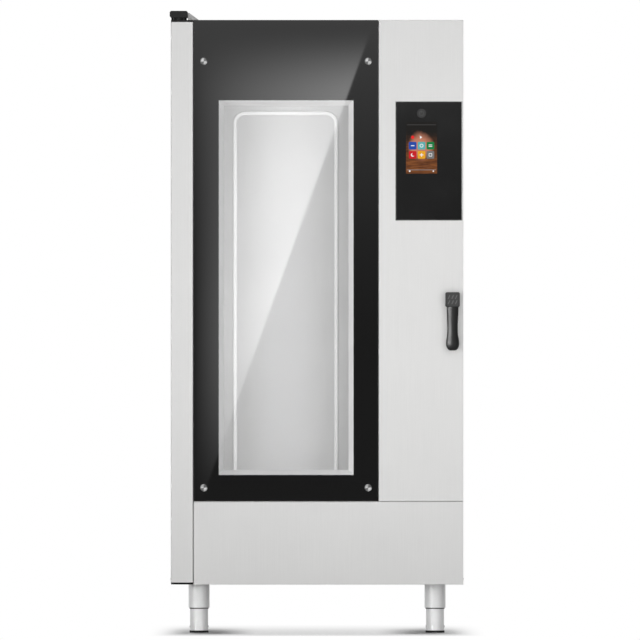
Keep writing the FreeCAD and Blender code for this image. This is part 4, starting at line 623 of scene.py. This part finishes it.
def screen_glow(finish, place, layout):
    """The picture behind the tiles: warm wood below, and an ember glow in the middle."""
    across, up = layout.across, layout.up
    glow = finish.noise(place, GLOW_CLOUDS, 3.0)
    grain = finish.noise(place, 1.0, 3.0, WOOD_GRAIN)
    beside = (across - EMBER_MIDDLE[0]) / EMBER_HALF[0]
    above = (up - EMBER_MIDDLE[1]) / EMBER_HALF[1]
    ember = (1 - beside ** 2 - above ** 2).most(0.0)
    table = (up + (glow - 0.5) * GLOW_DRIFT).fall(*TABLE_FADE)
    wood = grain.rise(0.3, 0.7).colour(WOOD_DARK, WOOD_LIGHT)
    picture = table.colour(SCREEN_DARK, wood)
    return (ember * 0.9 + (glow - 0.5) * 0.7).rise(0.05, 0.75).colour(picture, EMBER_COLOUR)


def tile_marks(layout):
    """One plain mark for each tile, and the page line and dots at the edges of the screen."""
    box, disc = layout.box, layout.disc
    left, centre, right = TILE_COLUMNS
    upper, lower = TILE_ROWS
    return [
        box(left, upper, 5.4, 1.3, 1.2),
        disc(centre, upper, 5.6) * (1 - disc(centre, upper, 3.6)),
        box(right, upper - 2.3, 5.6, 1.1, 1.0).most(box(right, upper + 2.3, 5.6, 1.1, 1.0)),
        disc(left, lower, 5.4) * (1 - disc(left + 2.4, lower + 1.5, 4.6)),
        box(centre, lower, 1.3, 5.6, 1.2).most(box(centre, lower, 5.6, 1.3, 1.2)),
        box(right, lower, 5.0, 5.0, 1.4) * (1 - box(right, lower, 3.4, 3.4, 1.0)),
        disc(-36.0, -71.0, 2.6),
        disc(36.0, -71.0, 2.2),
        box(0.0, -67.2, *PAGE_LINE, PAGE_CORNER) * 0.5,
        box(0.0, 70.0, *PAGE_LINE, PAGE_CORNER) * 0.1,
    ]


def start_mark(layout):
    """A small triangle that points to the right."""
    slant = (START_X - layout.across) * START_SLOPE
    return (layout.across + START_LEFT).rise(-0.2, 0.2) \
        * (layout.up - START_Z - slant).fall(-0.3, 0.3) * (START_Z - layout.up - slant).fall(-0.3, 0.3)


def lit_screen(name):
    """A lit touch screen: a warm glow behind six plain tiles, a start mark and a page line."""
    finish = Finish(name, {"Base Color": grey(0.002), "Roughness": 0.02, "Emission Strength": 1.0})
    place = finish.place()
    layout = Layout(finish, place, SCREEN)
    picture = screen_glow(finish, place, layout)
    for row, colours in zip(TILE_ROWS, TILE_COLOURS):
        for column, colour in zip(TILE_COLUMNS, colours):
            tile = layout.box(column, row, TILE_HALF, TILE_HALF, TILE_CORNER)
            picture = tile.colour(picture, colour)
    for mark in tile_marks(layout) + [start_mark(layout)]:
        picture = mark.colour(picture, grey(WHITE_MARK))
    red_dot = layout.disc(TILE_COLUMNS[0], START_Z, RED_DOT_RADIUS)
    finish.set({"Emission Color": red_dot.colour(picture, RED_DOT)})
    return finish


def button_plastic(name):
    """A dark round key with a faint ring and stroke."""
    finish = Finish(name, {"Specular IOR Level": 0.45})
    place = finish.place()
    layout = Layout(finish, place, BUTTON)
    reach = layout.reach(0.0, 0.0)
    beside = layout.across.size()
    gap = beside.fall(*RING_GAP) * layout.up.rise(*RING_GAP_FOOT)
    ring = reach.rise(*RING_INSIDE) * reach.fall(*RING_OUTSIDE) * (1 - gap)
    stroke = beside.fall(*STROKE_SIDE) * layout.up.rise(*STROKE_FOOT) * layout.up.fall(*STROKE_TOP)
    grain = finish.noise(place, BUTTON_GRAIN, 2.0)
    dish = reach / DISH_RADIUS
    finish.set({"Base Color": ring.most(stroke).colour(grey(0.02), grey(0.075)),
                "Roughness": 0.38 + (grain - 0.5) * 0.1,
                "Normal": finish.bump(dish * dish + grain * 0.02, 0.25, DISH_DEPTH)})
    return finish


# The finish of each slot that the solids name
FINISHES = {
    "panel_steel": brushed_steel("panel_steel", STEEL, 0.38, 2, 0.6),
    "cavity_steel": brushed_steel("cavity_steel", 0.92, 0.36, 2, PART_METAL, NEUTRAL),
    "frame_steel": brushed_steel("frame_steel", 0.72, 0.42, 2, 0.5),
    "foot_steel": leg_steel("foot_steel"),
    "heater_steel": cast_metal("heater_steel", grey(0.10), (0.24, 0.22, 0.20, 1), 0.5),
    "motor_alloy": cast_metal("motor_alloy", grey(0.36), grey(0.50), 0.48),
    "hinge_black": satin_plastic("hinge_black", 0.006, 0.45, 0.4),
    "black_plastic": satin_plastic("black_plastic", 0.012, 0.34, 0.8),
    "rubber_seal": rubber("rubber_seal"),
    "mineral_wool": mineral_wool("mineral_wool"),
    "clear_glass": clear_glass("clear_glass", 0.085),
    "black_border": glossy_black("black_border", 0.0018, 0.6, 0.02),
    "control_black": glossy_black("control_black", 0.006, 0.02),
    "screen": lit_screen("screen"),
    "button_black": button_plastic("button_black"),
    "polished_steel": brushed_steel("polished_steel", 0.80, 0.12, 0),
    "brass_fitting": cast_metal("brass_fitting", (0.52, 0.34, 0.11, 1), (0.72, 0.50, 0.20, 1), 0.3),
    "circuit_board": circuit_board("circuit_board"),
}

# Nodes with a finish of their own
OWN_FINISHES = {
    "outer_glass": printed_glass("printed_glass", 0.085),
    "inner_glass": clear_glass("coated_glass", 0.03),
    "lamp_lenses": lamp_glass("lamp_glass"),
    "window_reveal": painted_steel("pale_paint", 0.95, 0.35),
    "glass_bolts": turned_steel("turned_steel"),
    "handle_grip": satin_plastic("grip_plastic", 0.004, 0.40, 0.42),
    "handle_head": marked_plastic("marked_plastic", 0.012, 0.34, 0.8),
    "cavity_back_wall": beaded_steel("beaded_steel", 0.78, 0.36),
}


def dress_nodes():
    """Every solid of the frame takes the finish of its slot, or its own."""
    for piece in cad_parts.values():
        for seat in piece.material_slots:
            seat.material = FINISHES[seat.material.name.split(".")[0]].material
    for node, finish in OWN_FINISHES.items():
        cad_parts[node].material_slots[0].material = finish.material


def fresh():
    """Nothing selected, and no mesh in hand."""
    bpy.ops.object.select_all(action="DESELECT")
    bpy.context.view_layer.objects.active = None


def take(piece):
    """Just this piece selected and in hand."""
    fresh()
    piece.select_set(True)
    bpy.context.view_layer.objects.active = piece


def cylinder(sides, radius, depth, height):
    """A cylinder on the upright axis, with its middle at a height."""
    fresh()
    bpy.ops.mesh.primitive_cylinder_add(vertices=sides, radius=radius, depth=depth, location=(0, 0, height))
    bpy.ops.object.transform_apply()
    return bpy.context.object


def pick(piece, chosen):
    """Goes to edit mode with just the chosen faces selected."""
    for group in (piece.data.vertices, piece.data.edges):
        for item in group:
            item.select = False
    for face in piece.data.polygons:
        face.select = chosen(face)
    bpy.context.tool_settings.mesh_select_mode = (False, False, True)
    bpy.ops.object.mode_set(mode="EDIT")


def done():
    """Back to object mode."""
    bpy.ops.object.mode_set(mode="OBJECT")


def smooth(piece, degrees):
    """Smooth shading, apart from edges sharper than an angle."""
    take(piece)
    bpy.ops.object.shade_smooth_by_angle(angle=math.radians(degrees))


def screw_head(radius, height, key):
    """A low round screw head at the origin that looks up, with a six-sided recess."""
    head = cylinder(24, radius, height, height / 2)
    pick(head, lambda face: face.normal.z > 0.9)
    bpy.ops.mesh.bevel(offset=height * 0.55, segments=3, affect="EDGES")
    done()
    cutter = cylinder(6, key, height, height * 0.9)
    take(head)
    recess = head.modifiers.new("recess", "BOOLEAN")
    recess.operation = "DIFFERENCE"
    recess.object = cutter
    bpy.ops.object.modifier_apply(modifier="recess")
    bpy.data.objects.remove(cutter)
    smooth(head, 35)
    return head


def hand_screw(radius, height):
    """A fluted hand screw at the origin that looks up, on a thin washer."""
    knob = cylinder(36, radius, height, height / 2)
    pick(knob, lambda face: abs(face.normal.z) < 0.1 and face.index % 2 == 0)
    bpy.ops.mesh.extrude_faces_move(TRANSFORM_OT_shrink_fatten={"value": radius * 0.07})
    done()
    pick(knob, lambda face: face.normal.z > 0.9 and len(face.vertices) > 8)
    bpy.ops.mesh.inset(thickness=radius * 0.25, depth=0)
    bpy.ops.mesh.inset(thickness=radius * 0.2, depth=height * -0.12)
    done()
    pick(knob, lambda face: face.normal.z < -0.9 and len(face.vertices) > 8)
    bpy.ops.mesh.inset(thickness=radius * 0.2, depth=0)
    bpy.ops.mesh.extrude_region_move(TRANSFORM_OT_translate={"value": (0, 0, -height * 0.1)})
    done()
    smooth(knob, 30)
    return knob


def painted_shade_ring(bore, radius, height):
    """A soft ring at the origin that hangs below it, with a rounded lower lip."""
    ring = cylinder(48, radius, height, -height / 2)
    pick(ring, lambda face: abs(face.normal.z) > 0.9)
    bpy.ops.mesh.delete(type="ONLY_FACE")
    done()
    wall = ring.modifiers.new("wall", "SOLIDIFY")
    wall.thickness = radius - bore
    wall.offset = -1
    bpy.ops.object.modifier_apply(modifier="wall")
    pick(ring, lambda face: face.normal.z < -0.9)
    bpy.ops.mesh.bevel(offset=(radius - bore) * 0.3, segments=2, affect="EDGES")
    done()
    smooth(ring, 40)
    return ring


def set_out(model, name, spots, body, slot):
    """Copies of a model as one piece on a body. A spot is a place, the way it looks and its top."""
    copies = []
    for place, facing, top in spots:
        copy = model.copy()
        copy.data = model.data.copy()
        look = Vector(facing)
        up = Vector(top)
        turn = Matrix((up.cross(look), up, look)).transposed().to_4x4()
        copy.data.transform(Matrix.Translation(place) @ turn)
        bpy.context.scene.collection.objects.link(copy)
        copies.append(copy)
    fresh()
    for copy in copies:
        copy.select_set(True)
    piece = copies[0]
    bpy.context.view_layer.objects.active = piece
    bpy.ops.object.join()
    piece.name = name
    piece.data.name = name
    piece.data.materials.clear()
    piece.data.materials.append(FINISHES[slot].material)
    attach(piece, body)


def spaced(low, high, count):
    """Evenly spaced places from low to high."""
    return [low + (high - low) * i / (count - 1) for i in range(count)]


def back_panel_screws(screw):
    """Screws down both sides of the back panel, and along its top and foot."""
    low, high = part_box("back_panel")
    heights = spaced(low.z + BACK_END, high.z - BACK_END, 7)
    spots = [(x, z) for x in (low.x + PANEL_INSET, high.x - PANEL_INSET) for z in heights]
    spots += [(x, high.z - PANEL_INSET) for x in spaced(low.x + BACK_TOP_END, high.x - BACK_TOP_END, 5)]
    spots += [(x, low.z + BACK_FOOT_INSET) for x in BACK_FOOT_PLACES]
    spots = [((x, high.y, z), BACK, UP) for x, z in spots]
    set_out(screw, "back_panel_screws", spots, "cabinet", "polished_steel")


def roof_screws(screw):
    """Screws along both sides of the roof."""
    low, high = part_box("top_panel")
    depths = spaced(low.y + ROOF_FRONT_END, high.y - ROOF_BACK_END, 5)
    spots = [((x, y, high.z), UP, BACK) for x in (low.x + PANEL_INSET, high.x - PANEL_INSET) for y in depths]
    set_out(screw, "roof_screws", spots, "cabinet", "polished_steel")


def side_panel_screws(screw):
    """Screws along the foot of each side panel."""
    low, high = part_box("left_side_panel")
    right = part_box("right_side_panel")[1].x
    depths = spaced(low.y + SIDE_END, high.y - SIDE_END, 5)
    foot = low.z + SIDE_FOOT_INSET
    spots = [((low.x, y, foot), LEFTWARD, UP) for y in depths]
    spots += [((right, y, foot), RIGHTWARD, UP) for y in depths]
    set_out(screw, "side_panel_screws", spots, "cabinet", "polished_steel")


def inner_skin_screws(screw):
    """Screws round the edge of the door's inner skin, and round its pane."""
    low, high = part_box("door_inner_skin")
    pane_low, pane_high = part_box("inner_glass")
    heights = spaced(low.z + SKIN_END, high.z - SKIN_END, 7)
    spots = [(x, z) for x in (low.x + SKIN_INSET, high.x - SKIN_INSET) for z in heights]
    beside = spaced(pane_low.z + PANE_END, pane_high.z - PANE_END, 6)
    spots += [(x, z) for x in (pane_low.x - PANE_MARGIN, pane_high.x + PANE_MARGIN) for z in beside]
    across = spaced(pane_low.x + PANE_END, pane_high.x - PANE_END, 3)
    spots += [(x, z) for x in across for z in (pane_low.z - PANE_MARGIN, pane_high.z + PANE_MARGIN)]
    spots = [((x, high.y, z), BACK, UP) for x, z in spots]
    set_out(screw, "inner_skin_screws", spots, "door", "polished_steel")


def baffle_hand_screws(knob):
    """Hand screws down the front and back edges of the air baffle."""
    low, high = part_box("air_baffle")
    heights = spaced(low.z + KNOB_END, high.z - KNOB_END, 3)
    spots = [((low.x - WASHER, y, z), LEFTWARD, UP)
             for y in (low.y + KNOB_INSET, high.y - KNOB_INSET) for z in heights]
    set_out(knob, "baffle_hand_screws", spots, "cabinet", "polished_steel")


def foot_shade_rings(ring):
    """Painted shade: a dark rubber ring round each leg, under the mouth of its sleeve, stands in for the
    shade in the gap there.
    """
    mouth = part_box("foot_sleeves")[0].z
    spots = []
    for leg in ("leg_front_left", "leg_front_right", "leg_back_left", "leg_back_right"):
        axis = middle(leg)
        spots.append(((axis.x, axis.y, mouth), UP, BACK))
    # The dark rubber ring is painted shade under each sleeve's mouth.
    set_out(ring, "foot_shade_rings", spots, "cabinet", "rubber_seal")


def small_pieces():
    """Each small piece is modelled once, set out, and its model removed."""
    screw = screw_head(SCREW_RADIUS, SCREW_HEIGHT, SCREW_KEY)
    back_panel_screws(screw)
    roof_screws(screw)
    side_panel_screws(screw)
    inner_skin_screws(screw)
    knob = hand_screw(KNOB_RADIUS, KNOB_HEIGHT)
    baffle_hand_screws(knob)
    ring = painted_shade_ring(SHADE_RING_BORE, SHADE_RING_RADIUS, SHADE_RING_HEIGHT)
    foot_shade_rings(ring)
    for model in (screw, knob, ring):
        bpy.data.objects.remove(model)


def mirrored_room(side, back, upward):
    """What gloss sees of the room: pale all round, a dim wall behind the camera and a soft panel on it."""
    pale = (1 - side * side * SIDE_DARK) * (1 - BELOW_DARK * upward.fall(-HORIZON, 0.0)) \
        * (1 - ABOVE_DARK * upward.rise(0.0, HORIZON))
    ahead = 0 - back
    depth = ahead.most(LEAST_AHEAD)
    across = side / depth * CAMERA_DISTANCE + CAMERA_X
    height = upward / depth * CAMERA_DISTANCE + CAMERA_Z
    dim = WALL_GREY + WALL_GLOW * ((height - WALL_GLOW_FOOT) / WALL_GLOW_HEIGHT).most(0.0) ** 2
    edge = PANEL_EDGE_X + PANEL_EDGE_SLOPE * (height - PANEL_EDGE_Z)
    reach = (across - GLASS_LOW.x) / (edge - GLASS_LOW.x).most(PANEL_LEAST_WIDTH)
    panel = reach.most(0.0).least(1.0) ** PANEL_FADE * height.fall(*PANEL_TOP) * height.rise(*PANEL_FOOT) \
        * (across - edge).fall(-PANEL_EDGE_SOFT, PANEL_EDGE_SOFT)
    wall = across.rise(*WALL_LEFT) * across.fall(*WALL_RIGHT) * height.rise(*WALL_FOOT) \
        * height.fall(*WALL_TOP) * ahead.rise(*WALL_AHEAD)
    return pale * (1 - wall) + (dim + panel * PANEL_LIGHT) * wall


def white_room():
    """A world that the camera sees white, gloss sees as a room, and matt surfaces take soft light from."""
    world = bpy.data.worlds.new("room")
    bpy.context.scene.world = world
    room = Nodes(world)
    camera_ray = room.add("ShaderNodeLightPath", output="Is Camera Ray")
    glossy = camera_ray.out("Is Glossy Ray")
    seen = camera_ray.most(camera_ray.out("Is Transmission Ray"))
    mirrored = mirrored_room(*room.parts(room.add("ShaderNodeTexCoord", output="Generated")))
    background = room.tree.nodes["Background"]
    room.feed(background.inputs["Color"], grey(1.0))
    room.feed(background.inputs["Strength"],
              seen + (1 - seen) * (glossy * mirrored + (1 - glossy) * ROOM_LIGHT))


def soft_lamp(name, place, aim, size, power, spread, only):
    """An area lamp out of the camera's sight. It lights matt surfaces, or just the gloss of one node."""
    lamp = bpy.data.lights.new(name, "AREA")
    lamp.shape = "RECTANGLE"
    lamp.size, lamp.size_y = size
    lamp.energy = power
    lamp.spread = spread
    holder = bpy.data.objects.new(name, lamp)
    holder.location = place
    holder.rotation_euler = (Vector(aim) - Vector(place)).to_track_quat("-Z", "Y").to_euler()
    holder.visible_camera = False
    holder.visible_transmission = False
    holder.visible_glossy = only is not None
    holder.visible_diffuse = only is None
    bpy.context.scene.collection.objects.link(holder)
    if only:
        lit = bpy.data.collections.new(only + "_light")
        lit.objects.link(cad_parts[only])
        holder.light_linking.receiver_collection = lit


def pale_floor():
    """A floor that the camera sees white, apart from the soft shade under the oven and at its feet."""
    fresh()
    bpy.ops.mesh.primitive_plane_add(size=FLOOR_SIZE, location=(0, 0, -FLOOR_DROP))
    floor = bpy.context.object
    floor.name = "floor"
    paint = Finish("floor_paint", {"Base Color": grey(FLOOR_GREY), "Roughness": 0.8,
                                   "Specular IOR Level": 0.1})
    x, y, _ = paint.parts(paint.place())
    camera_ray = paint.add("ShaderNodeLightPath", output="Is Camera Ray")
    white = paint.add("ShaderNodeEmission", None, {"Color": grey(1.0), "Strength": 1.0})
    under = y.rise(*UNDER_FRONT) * (UNDER_BACK[1] - y).least(UNDER_LENGTH) / UNDER_LENGTH \
        * y.fall(*UNDER_BACK) * x.size().fall(*UNDER_SIDE)
    foot_x = x.size() - FOOT.x
    foot_y = y - FOOT.y
    near = foot_x.rise(*FOOT_INNER) * foot_x.fall(*FOOT_OUTER) * foot_y.rise(*FOOT_FRONT) \
        * foot_y.fall(*FOOT_BACK) * (1 - FOOT_STEP_SHARE * foot_x.rise(*FOOT_STEP))
    shaded = (UNDER_SHADE * under + FOOT_SHADE * near).least(1.0)
    far = (x * x + y * y).rise(*FAR_FADE) * camera_ray.out("Is Glossy Ray")
    paint.mix((camera_ray * (1 - shaded)).most(far * FAR_PALE), paint.principled(), white)
    floor.data.materials.append(paint.material)


def camera():
    """A long lens straight in front of the door."""
    lens = bpy.data.cameras.new("front")
    lens.sensor_width = SENSOR
    lens.lens = SENSOR * CAMERA_DISTANCE / VIEW_WIDTH
    lens.clip_end = CAMERA_REACH
    holder = bpy.data.objects.new("front", lens)
    holder.location = (CAMERA_X, GLASS_LOW.y - CAMERA_DISTANCE, CAMERA_Z)
    holder.rotation_euler = (math.pi / 2, 0, 0)
    bpy.context.scene.collection.objects.link(holder)
    bpy.context.scene.camera = holder


dress_nodes()
small_pieces()
white_room()
for lamp in LAMPS:
    soft_lamp(*lamp)
pale_floor()
camera()
bpy.context.scene.view_settings.view_transform = "Standard"
